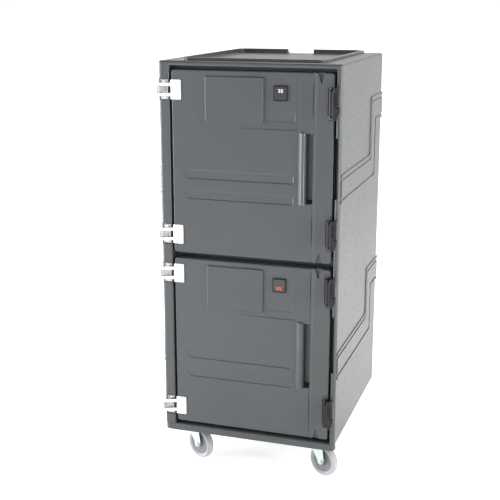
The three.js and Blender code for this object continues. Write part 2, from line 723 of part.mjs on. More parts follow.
function brakePedal() {
  const [pivotY, pivotZ] = pedalPivot;
  const eyeRadius = 2 * pedalPinRadius;
  const end = pivotY - pedalReach;
  const armOutline = [[pivotY, pivotZ - 4], [end + 38, pivotZ - 6.8], [end + 24, pivotZ - 6.8],
    [end + 24, pivotZ - 3.2], [end + 40, pivotZ - 3.1], [pivotY, pivotZ + 4]];
  const toeOutline = [[end + 26, pivotZ - 6.8], [end + 12, pivotZ - 9.8], [end, pivotZ - 15.5],
    [end, pivotZ - 11], [end + 4, pivotZ - 6.5], [end + 14, pivotZ - 3.5], [end + 26, pivotZ - 3.1]];
  const arm = slab(armOutline, 'x', -pedalArmWidth / 2, pedalArmWidth / 2);
  const toe = slab(toeOutline, 'x', -pedalToeWidth / 2, pedalToeWidth / 2);
  const knuckle = rod('x', [0, pivotY, pivotZ], eyeRadius, pedalArmWidth, 12);
  const bore = rod('x', [0, pivotY, pivotZ], pedalPinRadius + runClearance, 2 * pedalArmWidth, 12);
  return joined(arm, toe, knuckle).subtract(bore);
}

function rigidFork() {
  return legs(0, casterHeight - 1, rearLegTop).add(mountingPlate());
}

// ---------------------------------------------------------------- rear modules
function moduleHousing(door) {
  const z = door.moduleZ;
  const y0 = rearY + fitGap;
  const y1 = rearY + moduleDepth;
  const halfW = moduleWidth / 2;
  const halfH = moduleHeight / 2;
  const outside = roundedBox('y', [-halfW, halfW, z - halfH, z + halfH], y0, y1, moduleRadius);
  const inside = box(-halfW + moduleWall, halfW - moduleWall, y0 + moduleWall, y1 - moduleWall,
    z - halfH + moduleWall, z + halfH - moduleWall);
  const neckOutside = neck(door, 0, linerBack + fitGap, y0 + 1);
  const neckInside = neck(door, -moduleWall, linerBack - 1, y0 + moduleWall + 1);
  let housing = outside.subtract(inside).add(neckOutside).subtract(neckInside);
  for (let slot = 0; slot < louvreCount; slot += 1) {
    const slotZ = z - halfH + louvreFromBottom + slot * louvrePitch;
    const louvre = box(-halfW + louvreMargin, halfW - louvreMargin, y1 - moduleWall - 1, y1 + 1,
      slotZ, slotZ + louvreHeight);
    housing = housing.subtract(louvre);
  }
  if (door === lowerDoor) housing = housing.subtract(inletBox(0, y1 - moduleWall - 1, y1 + 1));
  return housing;
}

// The room of the power inlet in the lower module's rear face, made smaller by an inset.
function inletBox(inset, y0, y1) {
  const x1 = moduleWidth / 2 - inletFromSide;
  const z0 = lowerDoor.moduleZ - moduleHeight / 2 + inletRaise;
  return box(x1 - inletWidth + inset, x1 - inset, y0, y1, z0 + inset, z0 + inletHeight - inset);
}

function powerInlet() {
  const x = moduleWidth / 2 - inletFromSide - inletWidth / 2;
  const z = lowerDoor.moduleZ - moduleHeight / 2 + inletRaise + inletHeight / 2;
  const back = rearY + moduleDepth + 2;
  const front = back - inletDepth;
  const body = inletBox(fitGap, front, back);
  const mouth = inletBox(inletRim, front + inletRim, back + 1);
  const contacts = [[-11, -3], [0, 3], [11, -3]];
  const blades = contacts.map(([dx, dz]) => box(x + dx - 1, x + dx + 1, front + 1, back - 5,
    z + dz - 3, z + dz + 3));
  return joined(body.subtract(mouth), ...blades);
}

function fanRotor(door) {
  const y = rearY + fanFront + fanThickness / 2;
  let rotor = rod('y', [0, y, door.moduleZ], fanHubRadius, fanThickness, 16);
  for (let blade = 0; blade < fanBlades; blade += 1) {
    const leaf = box(-7, 7, -1.2, 1.2, fanHubRadius - 3, fanRadius).rotate([0, 0, fanBladePitch]);
    rotor = rotor.add(leaf.rotate([0, blade * 360 / fanBlades, 0]).translate([0, y, door.moduleZ]));
  }
  return rotor;
}

function heatSink(door) {
  const y0 = linerBack + 4;
  const y1 = rearY + fanFront - 4;
  const z0 = door.moduleZ - finHeight / 2;
  const halfW = neckWidth / 2 - moduleWall - fitGap;
  const base = box(-halfW, halfW, y0 + 18, y0 + 24, z0, z0 + finHeight);
  const fins = [];
  for (let x = -halfW + 4; x <= halfW - 2 * finThickness; x += finPitch) {
    fins.push(box(x, x + finThickness, y0, y1, z0, z0 + finHeight));
  }
  return joined(base, ...fins);
}

// A flat bar bent back and forth in rows, joined at alternate ends.
function heaterElement(door) {
  const y = linerBack + 20;
  const half = heaterBar / 2;
  const halfW = neckWidth / 2 - moduleWall - fitGap;
  const rows = [-1.5, -0.5, 0.5, 1.5].map((row) => door.moduleZ + row * heaterRow);
  const bars = rows.map((z) => box(-halfW, halfW, y - half, y + half, z - half, z + half));
  for (let row = 1; row < rows.length; row += 1) {
    const x = (row % 2 ? 1 : -1) * (halfW - heaterBar);
    bars.push(box(x - half, x + half, y - half, y + half, rows[row - 1], rows[row]));
  }
  return joined(...bars);
}

// ---------------------------------------------------------------- rear handles
function rearHandle(side) {
  const x = side * handleX;
  const y0 = rearY + fitGap;
  const y1 = rearY + rearProud;
  const half = handleWidth / 2;
  const profile = [[y0, handleBottom], [y1 - 6, handleBottom], [y1, handleBottom + 6], [y1, handleTop - 12],
    [y1 - 6, handleTop], [y0, handleTop + 6]];
  const gapEnd = handleEnd + handleSlope;
  const gap = [[y0 - 1, handleBottom + handleEnd], [y1 - handleBar, handleBottom + gapEnd],
    [y1 - handleBar, handleTop - gapEnd], [y0 - 1, handleTop - handleEnd]];
  return slab(profile, 'x', x - half, x + half).subtract(slab(gap, 'x', x - half - 1, x + half + 1));
}

// ---------------------------------------------------------------- the cart
addPiece('cabinet_shell', cabinetShell(), charcoal);
addPiece('cabinet_foam', cabinetFoam(), foamYellow);
for (const door of [upperDoor, lowerDoor]) {
  const place = door.name;
  addPiece(`${place}_liner`, compartmentLiner(door), linerGrey);
  addPiece(`${place}_left_rack`, rack(door, -1), rackGrey);
  addPiece(`${place}_right_rack`, rack(door, 1), rackGrey);
  addPiece(`${place}_door_shell`, doorShell(door), charcoal);
  addPiece(`${place}_door_foam`, doorFoam(door), foamYellow);
  addPiece(`${place}_door_gasket`, doorGasket(door), gasketBlack);
  addPiece(`${place}_display_housing`, displayHousing(door), displayBlack);
  addPiece(`${place}_display_lens`, displayLens(door), displayBlack);
  ['top', 'bottom'].forEach((level, index) => {
    addPiece(`${place}_${level}_hinge_leaf`, hingeLeaf(door.hinges[index]), stainless);
    addPiece(`${place}_${level}_hinge_bracket`, hingeBracket(door.hinges[index]), stainless);
    addPiece(`${place}_${level}_latch_base`, latchBase(door.latches[index]), nylonBlack);
    addPiece(`${place}_${level}_latch_lever`, latchLever(door.latches[index]), nylonBlack);
    addPiece(`${place}_${level}_latch_keeper`, latchKeeper(door.latches[index]), nylonBlack);
  });
}

addPiece('cold_module_housing', moduleHousing(upperDoor), moduleGrey);
addPiece('cold_module_fan', fanRotor(upperDoor), nylonBlack);
addPiece('cold_module_heat_sink', heatSink(upperDoor), aluminium);
addPiece('hot_module_housing', moduleHousing(lowerDoor), moduleGrey);
addPiece('hot_module_fan', fanRotor(lowerDoor), nylonBlack);
addPiece('hot_module_heater', heaterElement(lowerDoor), stainless);
addPiece('power_inlet', powerInlet(), nylonBlack);
addPiece('left_rear_handle', rearHandle(-1), charcoal);
addPiece('right_rear_handle', rearHandle(1), charcoal);

for (const [place, side] of [['left', -1], ['right', 1]]) {
  const front = new THREE.Group();
  front.position.set(side * casterX, frontY + casterFromFront, 0);
  front.rotation.z = THREE.MathUtils.degToRad(casterTurn);
  cart.add(front);
  addPiece(`front_${place}_caster_plate`, casterPlate(), zinc).position.copy(front.position);
  addPiece(`front_${place}_caster_fork`, swivelFork(), zinc, front);
  addPiece(`front_${place}_brake_pedal`, brakePedal(), zinc, front);
  addPiece(`front_${place}_wheel`, wheel(), treadGrey, front).position.set(0, -trail, wheelRadius);

  const rear = new THREE.Group();
  rear.position.set(side * rearCasterX, rearY - rearCasterFromRear, 0);
  cart.add(rear);
  addPiece(`rear_${place}_caster_fork`, rigidFork(), zinc, rear);
  addPiece(`rear_${place}_wheel`, wheel(), treadGrey, rear).position.set(0, 0, wheelRadius);
}

export default cart;
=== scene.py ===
"""The looks of an insulated two-compartment pan carrier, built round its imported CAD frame.

Metres, +Z up. The doors face -Y, the hinges are on -X and the cart stands on the floor at z = 0.
"""

import json
import math

import bpy
from bpy.props import FloatProperty, FloatVectorProperty, IntProperty, PointerProperty
from mathutils import Matrix, Vector

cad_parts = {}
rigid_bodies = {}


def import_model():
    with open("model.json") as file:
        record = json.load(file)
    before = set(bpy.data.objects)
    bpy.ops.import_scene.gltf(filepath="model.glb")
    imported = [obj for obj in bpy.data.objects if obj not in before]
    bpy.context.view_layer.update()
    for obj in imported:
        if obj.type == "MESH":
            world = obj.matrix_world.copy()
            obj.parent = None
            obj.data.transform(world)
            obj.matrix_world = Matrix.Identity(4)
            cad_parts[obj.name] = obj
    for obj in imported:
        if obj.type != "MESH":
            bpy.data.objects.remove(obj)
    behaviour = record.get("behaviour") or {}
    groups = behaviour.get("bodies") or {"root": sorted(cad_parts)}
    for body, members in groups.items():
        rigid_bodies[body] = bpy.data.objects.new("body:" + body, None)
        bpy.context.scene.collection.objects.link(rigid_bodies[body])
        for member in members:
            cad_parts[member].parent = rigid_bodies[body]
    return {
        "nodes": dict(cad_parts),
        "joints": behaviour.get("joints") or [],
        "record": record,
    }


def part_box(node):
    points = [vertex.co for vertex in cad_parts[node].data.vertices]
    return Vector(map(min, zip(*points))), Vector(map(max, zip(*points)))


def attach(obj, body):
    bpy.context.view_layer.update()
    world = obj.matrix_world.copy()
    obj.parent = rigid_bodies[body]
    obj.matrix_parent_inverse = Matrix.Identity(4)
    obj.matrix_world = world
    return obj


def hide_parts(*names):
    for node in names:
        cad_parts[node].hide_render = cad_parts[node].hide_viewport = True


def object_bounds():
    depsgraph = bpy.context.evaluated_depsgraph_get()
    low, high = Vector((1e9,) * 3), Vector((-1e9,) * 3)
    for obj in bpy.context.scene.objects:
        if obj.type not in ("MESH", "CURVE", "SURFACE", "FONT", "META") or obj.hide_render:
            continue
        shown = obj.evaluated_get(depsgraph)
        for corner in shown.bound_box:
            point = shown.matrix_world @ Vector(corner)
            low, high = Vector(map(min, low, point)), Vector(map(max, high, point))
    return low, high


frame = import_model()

bl_info = {
    "name": "Insulated Pan Carrier",
    "version": (1, 0, 0),
    "blender": (4, 5, 0),
    "location": "3D View > Sidebar > Pan Carrier",
    "description": "Builds an insulated two-compartment pan carrier round its CAD frame",
    "category": "Object",
}

CAD_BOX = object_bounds()
BODY_OF = {node: body for body, nodes in frame["record"]["behaviour"]["bodies"].items() for node in nodes}
JOINTS = {joint["name"]: joint for joint in frame["joints"]}
DOORS = ("upper", "lower")
LEVELS = ("top", "bottom")
SMOOTH_ANGLE = math.radians(38)
FOLD_ANGLE = math.radians(50)  # bent and joined parts are rounded only at edges sharper than this
FLAT = 0.9995  # two faces whose normals agree this well are one flat


# ---------------------------------------------------------------- sizes and colours a user would change
class CartSizes(bpy.types.PropertyGroup):
    """Sizes of the moulded details that the CAD frame leaves plain."""

    corner_radius: FloatProperty(
        name="Corner radius", description="Upright corners of the cabinet", default=0.016, unit="LENGTH")
    frame_radius: FloatProperty(
        name="Frame radius", description="Rounding of the frame round the doors", default=0.006,
        unit="LENGTH")
    rim_radius: FloatProperty(
        name="Rim radius", description="Rounding of the top rim", default=0.004, unit="LENGTH")
    wall: FloatProperty(
        name="Wall", description="Thickness of the moulded skin", default=0.005, unit="LENGTH")
    door_radius: FloatProperty(
        name="Door corner radius", description="Corners of a door, seen from the front",
        default=0.012, unit="LENGTH")
    door_edge: FloatProperty(
        name="Door edge", description="Rounding of a door's front edge", default=0.005, unit="LENGTH")
    rib_count: IntProperty(
        name="Ribs", description="Shallow ribs across a door", default=2, min=0, max=4)
    tread_sides: IntProperty(
        name="Wheel sides", description="Flats round a wheel", default=72, min=24, max=128)


class CartColours(bpy.types.PropertyGroup):
    """Linear colours of the finishes."""

    moulding: FloatVectorProperty(
        name="Moulding", description="Cabinet, doors and handles", subtype="COLOR",
        default=(0.052, 0.0555, 0.059))
    liner: FloatVectorProperty(
        name="Liner", description="Compartment liners", subtype="COLOR", default=(0.15, 0.155, 0.16))
    nylon: FloatVectorProperty(
        name="Nylon", description="Latches, fans and the inlet", subtype="COLOR",
        default=(0.011, 0.011, 0.014))
    stainless: FloatVectorProperty(
        name="Stainless", description="Hinges and screws", subtype="COLOR", default=(0.86, 0.86, 0.83))
    zinc: FloatVectorProperty(
        name="Zinc", description="Caster forks and plates", subtype="COLOR", default=(0.60, 0.68, 0.65))
    tread: FloatVectorProperty(
        name="Tread", description="Wheels", subtype="COLOR", default=(0.36, 0.36, 0.37))


class StageSettings(bpy.types.PropertyGroup):
    """Where the camera stands and how bright the lights are."""

    lens: FloatProperty(name="Lens", description="Focal length in millimetres", default=70.99)
    azimuth: FloatProperty(
        name="Azimuth", description="Camera's turn towards +X", default=math.radians(18.06),
        subtype="ANGLE")
    elevation: FloatProperty(
        name="Elevation", description="Camera's tilt downwards", default=math.radians(14.37),
        subtype="ANGLE")
    place: FloatVectorProperty(
        name="Camera place", description="Where the camera stands", subtype="TRANSLATION",
        unit="LENGTH", default=(1.143, -3.864, 1.864))
    brightness: FloatProperty(name="Brightness", description="Scales the power of every softbox",
                              default=1.0)
    surround: FloatProperty(name="Surround", description="Brightness of the pale surroundings",
                            default=1.02)
    floor_glow: FloatProperty(name="Floor glow", description="How much the pale floor lights itself",
                              default=0.42)


# ---------------------------------------------------------------- modelling helpers
def choose(*pieces):
    """Selects only these pieces, the last one active."""
    bpy.ops.object.select_all(action="DESELECT")
    for piece in pieces:
        piece.select_set(True)
    bpy.context.view_layer.objects.active = pieces[-1]


def settle():
    """Puts the active piece's place, turn and size into its mesh."""
    piece = bpy.context.object
    choose(piece)
    bpy.ops.object.transform_apply(location=True, rotation=True, scale=True)
    return piece


def block(low, high):
    """A rectangular block between two corners."""
    low, high = Vector(low), Vector(high)
    bpy.ops.object.select_all(action="DESELECT")
    bpy.ops.mesh.primitive_cube_add(size=1, location=(low + high) / 2, scale=high - low)
    return settle()


TURNS = {"x": (0, math.pi / 2, 0), "y": (math.pi / 2, 0, 0), "z": (0, 0, 0)}


def rod(centre, radius, length, axis, sides=32, tip=None):
    """A round bar about an axis, or a taper where the tip's radius is given."""
    bpy.ops.object.select_all(action="DESELECT")
    bpy.ops.mesh.primitive_cone_add(vertices=sides, radius1=radius,
                                    radius2=radius if tip is None else tip,
                                    depth=length, location=centre, rotation=TURNS[axis])
    return settle()


def on_axis(axis, across, along):
    """The point at (u, v) across an axis and at a place along it."""
    u, v = across
    return Vector({"x": (along, u, v), "y": (u, along, v), "z": (u, v, along)}[axis])


def outline_loop(points, axis, along, fill="NGON"):
    """A flat loop through points given across an axis."""
    bpy.ops.object.select_all(action="DESELECT")
    bpy.ops.mesh.primitive_circle_add(vertices=len(points), fill_type=fill)
    piece = bpy.context.object
    for vertex, point in zip(piece.data.vertices, points):
        vertex.co = on_axis(axis, point, along)
    return piece


def outward(piece):
    """Turns all faces of a closed piece outwards."""
    choose(piece)
    bpy.ops.object.mode_set(mode="EDIT")
    bpy.ops.mesh.select_all(action="SELECT")
    bpy.ops.mesh.remove_doubles(threshold=1e-6)
    bpy.ops.mesh.normals_make_consistent(inside=False)
    bpy.ops.object.mode_set(mode="OBJECT")
    return piece


def prism(points, axis, low, high):
    """A flat outline extruded along an axis."""
    piece = outline_loop(points, axis, low)
    choose(piece)
    bpy.ops.object.mode_set(mode="EDIT")
    bpy.ops.mesh.select_all(action="SELECT")
    step = on_axis(axis, (0, 0), high - low)
    bpy.ops.mesh.extrude_region_move(TRANSFORM_OT_translate={"value": step})
    bpy.ops.object.mode_set(mode="OBJECT")
    return outward(piece)


def spun(profile, centre, axis, steps):
    """A closed profile of (radius, along) points spun about an axis through a centre."""
    centre = Vector(centre)
    piece = outline_loop(profile, "y", 0, fill="NOTHING")
    choose(piece)
    bpy.ops.object.mode_set(mode="EDIT")
    bpy.ops.mesh.select_all(action="SELECT")
    bpy.ops.mesh.spin(steps=steps, angle=math.tau, center=(0, 0, 0), axis=(0, 0, 1))
    bpy.ops.object.mode_set(mode="OBJECT")
    turn = Vector((0, 0, 1)).rotation_difference(Vector(axis)).to_matrix().to_4x4()
    piece.data.transform(Matrix.Translation(centre) @ turn)
    return outward(piece)


def pick_edges(piece, test):
    """Goes into edit mode with only the creased edges whose two ends pass a test selected."""
    choose(piece)
    bpy.context.tool_settings.mesh_select_mode = (False, True, False)
    bpy.ops.object.mode_set(mode="EDIT")
    bpy.ops.mesh.select_all(action="DESELECT")
    bpy.ops.object.mode_set(mode="OBJECT")
    places = [vertex.co for vertex in piece.data.vertices]
    normals = {}
    for face in piece.data.polygons:
        for key in face.edge_keys:
            normals.setdefault(key, []).append(face.normal)
    for edge in piece.data.edges:
        a, b = edge.vertices
        sides = normals.get(edge.key, [])
        creased = len(sides) == 2 and sides[0].dot(sides[1]) < FLAT
        edge.select = creased and test(places[a], places[b])
    bpy.ops.object.mode_set(mode="EDIT")


def pick_faces(piece, test):
    """Goes into edit mode with only the faces that pass a test selected."""
    choose(piece)
    bpy.context.tool_settings.mesh_select_mode = (False, False, True)
    bpy.ops.object.mode_set(mode="EDIT")
    bpy.ops.mesh.select_all(action="DESELECT")
    bpy.ops.object.mode_set(mode="OBJECT")
    for face in piece.data.polygons:
        face.select = test(face)
    bpy.ops.object.mode_set(mode="EDIT")


def round_edges(piece, test, radius, segments=4):
    """Rounds the edges whose two ends pass a test."""
    pick_edges(piece, test)
    bpy.ops.mesh.bevel(offset=radius, segments=segments, affect="EDGES", clamp_overlap=False)
    bpy.ops.object.mode_set(mode="OBJECT")
    return piece


def along_axis(axis):
    """A test for edges that run along an axis."""
    index = "xyz".index(axis)
    others = [i for i in range(3) if i != index]
    return lambda a, b: all(abs(a[i] - b[i]) < 1e-5 for i in others)


def on_plane(axis, value):
    """A test for edges that lie on a plane square to an axis."""
    index = "xyz".index(axis)
    return lambda a, b: abs(a[index] - value) < 1e-5 and abs(b[index] - value) < 1e-5


def rounded_block(low, high, axis, radius, segments=5):
    """A block whose edges along one axis are rounded."""
    return round_edges(block(low, high), along_axis(axis), radius, segments)


def combine(piece, tools, operation):
    """Joins tools to a piece, or cuts them out of it, and removes them."""
    for tool in tools:
        modifier = piece.modifiers.new("Combine", "BOOLEAN")
        modifier.object = tool
        modifier.operation = operation
        modifier.solver = "EXACT"
        choose(piece)
        bpy.ops.object.modifier_apply(modifier=modifier.name)
        bpy.data.objects.remove(tool)
    return piece


def cut(piece, *tools):
    """Cuts tools out of a piece."""
    return combine(piece, tools, "DIFFERENCE")


def fuse(piece, *tools):
    """Joins tools to a piece."""
    return combine(piece, tools, "UNION")


def gather(*pieces):
    """Makes separate closed bodies one piece."""
    choose(*reversed(pieces))
    bpy.ops.object.join()
    return bpy.context.object


def soften(piece, radius=0.0, segments=2, angle=SMOOTH_ANGLE):
    """Rounds a piece's sharp edges and shades it so that its flats stay flat."""
    choose(piece)
    if radius:
        modifier = piece.modifiers.new("Soft edges", "BEVEL")
        modifier.width = radius
        modifier.segments = segments
        modifier.limit_method = "ANGLE"
        modifier.angle_limit = angle
        modifier.use_clamp_overlap = False
        bpy.ops.object.modifier_apply(modifier=modifier.name)
    bpy.ops.object.shade_smooth_by_angle(angle=SMOOTH_ANGLE)
    modifier = piece.modifiers.new("Flat faces", "WEIGHTED_NORMAL")
    modifier.keep_sharp = True
    modifier.weight = 100
    bpy.ops.object.modifier_apply(modifier=modifier.name)
    return piece


def remade(node):
    """A copy of a CAD node as a clean mesh, with its flat faces whole again."""
    choose(frame["nodes"][node])
    bpy.ops.object.duplicate()
    piece = bpy.context.object
    for key in [key for key in piece.keys() if key.startswith("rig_")]:
        del piece[key]
    bpy.ops.object.parent_clear(type="CLEAR_KEEP_TRANSFORM")
    bpy.ops.object.mode_set(mode="EDIT")
    bpy.ops.mesh.select_all(action="SELECT")
    bpy.ops.mesh.remove_doubles(threshold=1e-5)
    bpy.ops.mesh.dissolve_limited(angle_limit=math.radians(1))
    bpy.ops.object.mode_set(mode="OBJECT")
    return piece


def finished(piece, name, finish, slot, body, *nodes):
    """Names a piece, gives it its finish and body, and lets it stand for its CAD nodes."""
    piece.name = name
    piece.data.name = name
    piece.data.materials.clear()
    piece.data.materials.append(finish)
    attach(piece, body)
    if nodes:
        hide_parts(*nodes)
    return piece


def stand_in(piece, node, finish, slot, name=None):
    """Finishes a piece that stands for one CAD node."""
    return finished(piece, name or node + "_fine", finish, slot, BODY_OF[node], node)


# ---------------------------------------------------------------- finishes
class Value:
    """A number that varies over a surface. Python's operators on it add Math nodes."""

    def __init__(self, tree, socket):
        self.tree = tree
        self.socket = socket

    def math(self, operation, *others, first=None):
        """A Math node of this value and others."""
        node = self.tree.nodes.new("ShaderNodeMath")
        node.operation = operation
        parts = (self, *others) if first is None else (first, self, *others)
        for part, entry in zip(parts, node.inputs):
            if isinstance(part, Value):
                self.tree.links.new(part.socket, entry)
            else:
                entry.default_value = part
        return Value(self.tree, node.outputs[0])

    def __add__(self, other):
        return self.math("ADD", other)

    def __radd__(self, other):
        return self.math("ADD", first=other)

    def __sub__(self, other):
        return self.math("SUBTRACT", other)

    def __rsub__(self, other):
        return self.math("SUBTRACT", first=other)

    def __mul__(self, other):
        return self.math("MULTIPLY", other)

    def __rmul__(self, other):
        return self.math("MULTIPLY", first=other)

    def __truediv__(self, other):
        return self.math("DIVIDE", other)

    def __pow__(self, other):
        return self.math("POWER", other)

    def above(self, edge, width):
        """0 below an edge and 1 above it, with a soft step between."""
        return ((self - edge) / width + 0.5).math("MAXIMUM", 0.0).math("MINIMUM", 1.0)


class Finish:
    """A material being made: its node tree, its shader, and short ways to add nodes."""

    def __init__(self, name, colour, roughness, metallic=0.0, coat=0.0, specular=0.5):
        self.material = bpy.data.materials.new(name)
        self.material.use_nodes = True
        self.material.diffuse_color = (*colour, 1)
        self.tree = self.material.node_tree
        self.shader = self.tree.nodes["Principled BSDF"]
        self.colour = colour
        self.relief = None
        self.set(**{"Base Color": (*colour, 1), "Roughness": roughness, "Metallic": metallic,
                    "Coat Weight": coat, "Specular IOR Level": specular})

    def set(self, **values):
        """Sets the shader's own sockets, or links values to them."""
        self.fill(self.shader, values)

    def fill(self, node, values):
        """Fills a node's sockets with numbers, colours or links."""
        for name, value in values.items():
            entry = node.inputs[name]
            if isinstance(value, Value):
                self.tree.links.new(value.socket, entry)
            else:
                entry.default_value = value

    def node(self, kind, settings=(), output=0, **values):
        """Adds a node: its settings first, then its sockets. Returns one of its outputs."""
        node = self.tree.nodes.new("ShaderNode" + kind)
        for name, value in dict(settings).items():
            setattr(node, name, value)
        self.fill(node, {name.replace("_", " "): value for name, value in values.items()})
        return Value(self.tree, node.outputs[output])

    def place(self, stretch=(1, 1, 1)):
        """A point of the piece in metres, stretched along its axes."""
        coordinates = self.node("TexCoord", output="Object")
        return self.node("Mapping", Vector=coordinates, Scale=stretch)

    def axis(self, index):
        """One coordinate of the piece, in metres."""
        return self.node("SeparateXYZ", output=index, Vector=self.node("TexCoord", output="Object"))

    def noise(self, scale, detail=2.0, stretch=(1, 1, 1), roughness=0.5):
        """Noise from 0 to 1 with features of about 1 / scale metres."""
        return self.node("TexNoise", Vector=self.place(stretch), Scale=scale, Detail=detail,
                         Roughness=roughness)

    def mixed(self, mask, first, second):
        """The first colour where the mask is 0 and the second where it is 1."""
        node = self.tree.nodes.new("ShaderNodeMix")
        node.data_type = "RGBA"
        entries = (node.inputs["Factor"], *(e for e in node.inputs if e.type == "RGBA"))
        for entry, value in zip(entries, (mask, first, second)):
            if isinstance(value, Value):
                self.tree.links.new(value.socket, entry)
            else:
                entry.default_value = value if isinstance(value, float) else (*value, 1)
        return Value(self.tree, next(o for o in node.outputs if o.type == "RGBA"))

    def distance(self, near, far):
        """0 up to one distance from the object's origin, rising to 1 at another."""
        length = self.tree.nodes.new("ShaderNodeVectorMath")
        length.operation = "LENGTH"
        self.tree.links.new(self.tree.nodes.new("ShaderNodeTexCoord").outputs["Object"],
                            length.inputs[0])
        return Value(self.tree, length.outputs["Value"]).above(near, far - near)

    def tinted(self, mask, darker, lighter):
        """The finish's own colour, from darker to lighter along a mask."""
        return self.mixed(mask, [c * darker for c in self.colour], [c * lighter for c in self.colour])

    def bump(self, height, strength, distance):
        """Adds relief on top of what the finish already has."""
        values = {"Height": height, "Strength": strength, "Distance": distance}
        if self.relief:
            values["Normal"] = self.relief
        self.relief = self.node("Bump", **values)
        self.set(Normal=self.relief)


def polyethylene(name, colour, pebble=1.0, roughness=0.34):
    """Rotomoulded plastic: cloudy colour, a fine pebbled skin and slow waves in its flats."""
    finish = Finish(name, colour, roughness)
    clouds = finish.noise(3.5, 4.0)
    flecks = finish.noise(420.0, 2.0)
    scuffs = finish.noise(26.0, 5.0, stretch=(1, 1, 4)).above(0.62, 0.12)
    shade = clouds * 0.75 + flecks * 0.25
    finish.set(**{"Base Color": finish.mixed(scuffs * 0.16, finish.tinted(shade, 0.88, 1.12),
                                             [c * 1.5 + 0.01 for c in colour])})
    finish.set(Roughness=roughness - 0.05 + clouds * 0.07 + flecks * 0.05 + scuffs * 0.08)
    finish.bump(finish.noise(7.0, 1.5), 0.25, 0.004)
    finish.bump(finish.noise(760.0, 2.0), 0.22 * pebble, 0.00035)
    return finish.material


def nylon(name, colour, roughness=0.42):
    """Moulded nylon with a fine satin grain and paler rubbed patches."""
    finish = Finish(name, colour, roughness, specular=0.3)
    grain = finish.noise(900.0, 2.0)
    rubbed = finish.noise(45.0, 4.0).above(0.6, 0.2)
    finish.set(**{"Base Color": finish.mixed(rubbed * 0.25, finish.tinted(grain, 0.85, 1.2),
                                             [c * 1.8 + 0.006 for c in colour])})
    finish.set(Roughness=roughness - 0.06 + grain * 0.1 + rubbed * 0.08)
    finish.bump(grain, 0.2, 0.0002)
    return finish.material


def brushed_steel(name, colour, stretch, roughness=0.24):
    """Stainless steel brushed along one axis, with faint smudges."""
    finish = Finish(name, colour, roughness, metallic=1.0)
    strokes = finish.noise(900.0, 3.0, stretch=stretch)
    smudges = finish.noise(30.0, 3.0).above(0.55, 0.3)
    finish.set(**{"Base Color": finish.tinted(strokes * 0.7 + smudges * 0.3, 0.86, 1.06)})
    finish.set(Roughness=roughness + strokes * 0.12 + smudges * 0.1)
    finish.bump(strokes, 0.15, 0.00015)
    return finish.material


def zinc_plate(name, colour):
    """Bright zinc plating with a faint cool cast and cloudy spangle."""
    finish = Finish(name, colour, 0.3, metallic=0.85)
    spangle = finish.node("TexVoronoi", Vector=finish.place(), Scale=160.0)
    clouds = finish.noise(40.0, 3.0)
    finish.set(**{"Base Color": finish.mixed(clouds, [c * 0.86 for c in colour],
                                             [colour[0] * 1.08, colour[1] * 1.12, colour[2] * 1.12])})
    finish.set(Roughness=0.22 + clouds * 0.18 + spangle * 4.0 * 0.05)
    finish.bump(clouds, 0.08, 0.0005)
    return finish.material


def tread_rubber(name, colour):
    """Grey wheel rubber with a matt, slightly dusty skin."""
    finish = Finish(name, colour, 0.6)
    dust = finish.noise(60.0, 4.0)
    grain = finish.noise(1100.0, 2.0)
    finish.set(**{"Base Color": finish.tinted(dust * 0.8 + grain * 0.2, 0.84, 1.12)})
    finish.set(Roughness=0.5 + dust * 0.2)
    finish.bump(grain, 0.2, 0.0002)
    finish.bump(dust, 0.1, 0.0006)
    return finish.material


def soft_rubber(name, colour):
    """Black gasket rubber with a faint bloom."""
    finish = Finish(name, colour, 0.8, specular=0.3)
    bloom = finish.noise(70.0, 4.0)
    finish.set(**{"Base Color": finish.tinted(bloom, 0.7, 1.6), "Roughness": 0.7 + bloom * 0.2})
    finish.bump(finish.noise(800.0), 0.2, 0.0002)
    return finish.material


def foam(name, colour):
    """Rigid foam with fine cells."""
    finish = Finish(name, colour, 0.95, specular=0.2)
    cells = finish.node("TexVoronoi", Vector=finish.place(), Scale=500.0)
    finish.set(**{"Base Color": finish.tinted(cells, 0.8, 1.1)})
    finish.bump(cells, 0.6, 0.0008)
    return finish.material


def clear_window(name, colour):
    """A dark glossy display window with a faint sheen of fingerprints."""
    finish = Finish(name, colour, 0.08, coat=0.6)
    prints = finish.noise(120.0, 4.0).above(0.58, 0.2)
    finish.set(**{"Base Color": finish.tinted(prints, 0.9, 1.5), "Roughness": 0.07 + prints * 0.14})
    return finish.material


def lit_digit(name, colour, strength):
    """A lit bar of a number display, a little uneven from end to end."""
    finish = Finish(name, colour, 0.4)
    glow = finish.noise(300.0, 1.0)
    finish.set(**{"Emission Color": finish.tinted(glow, 0.75, 1.1), "Emission Strength": strength})
    return finish.material


def extruded_aluminium(name, colour):
    """Aluminium with die lines along its length."""
    finish = Finish(name, colour, 0.35, metallic=1.0)
    lines = finish.noise(700.0, 2.0, stretch=(1, 1, 0.03))
    finish.set(**{"Base Color": finish.tinted(lines, 0.85, 1.05), "Roughness": 0.28 + lines * 0.16})
    finish.bump(lines, 0.15, 0.0002)
    return finish.material


FINISHES = {}


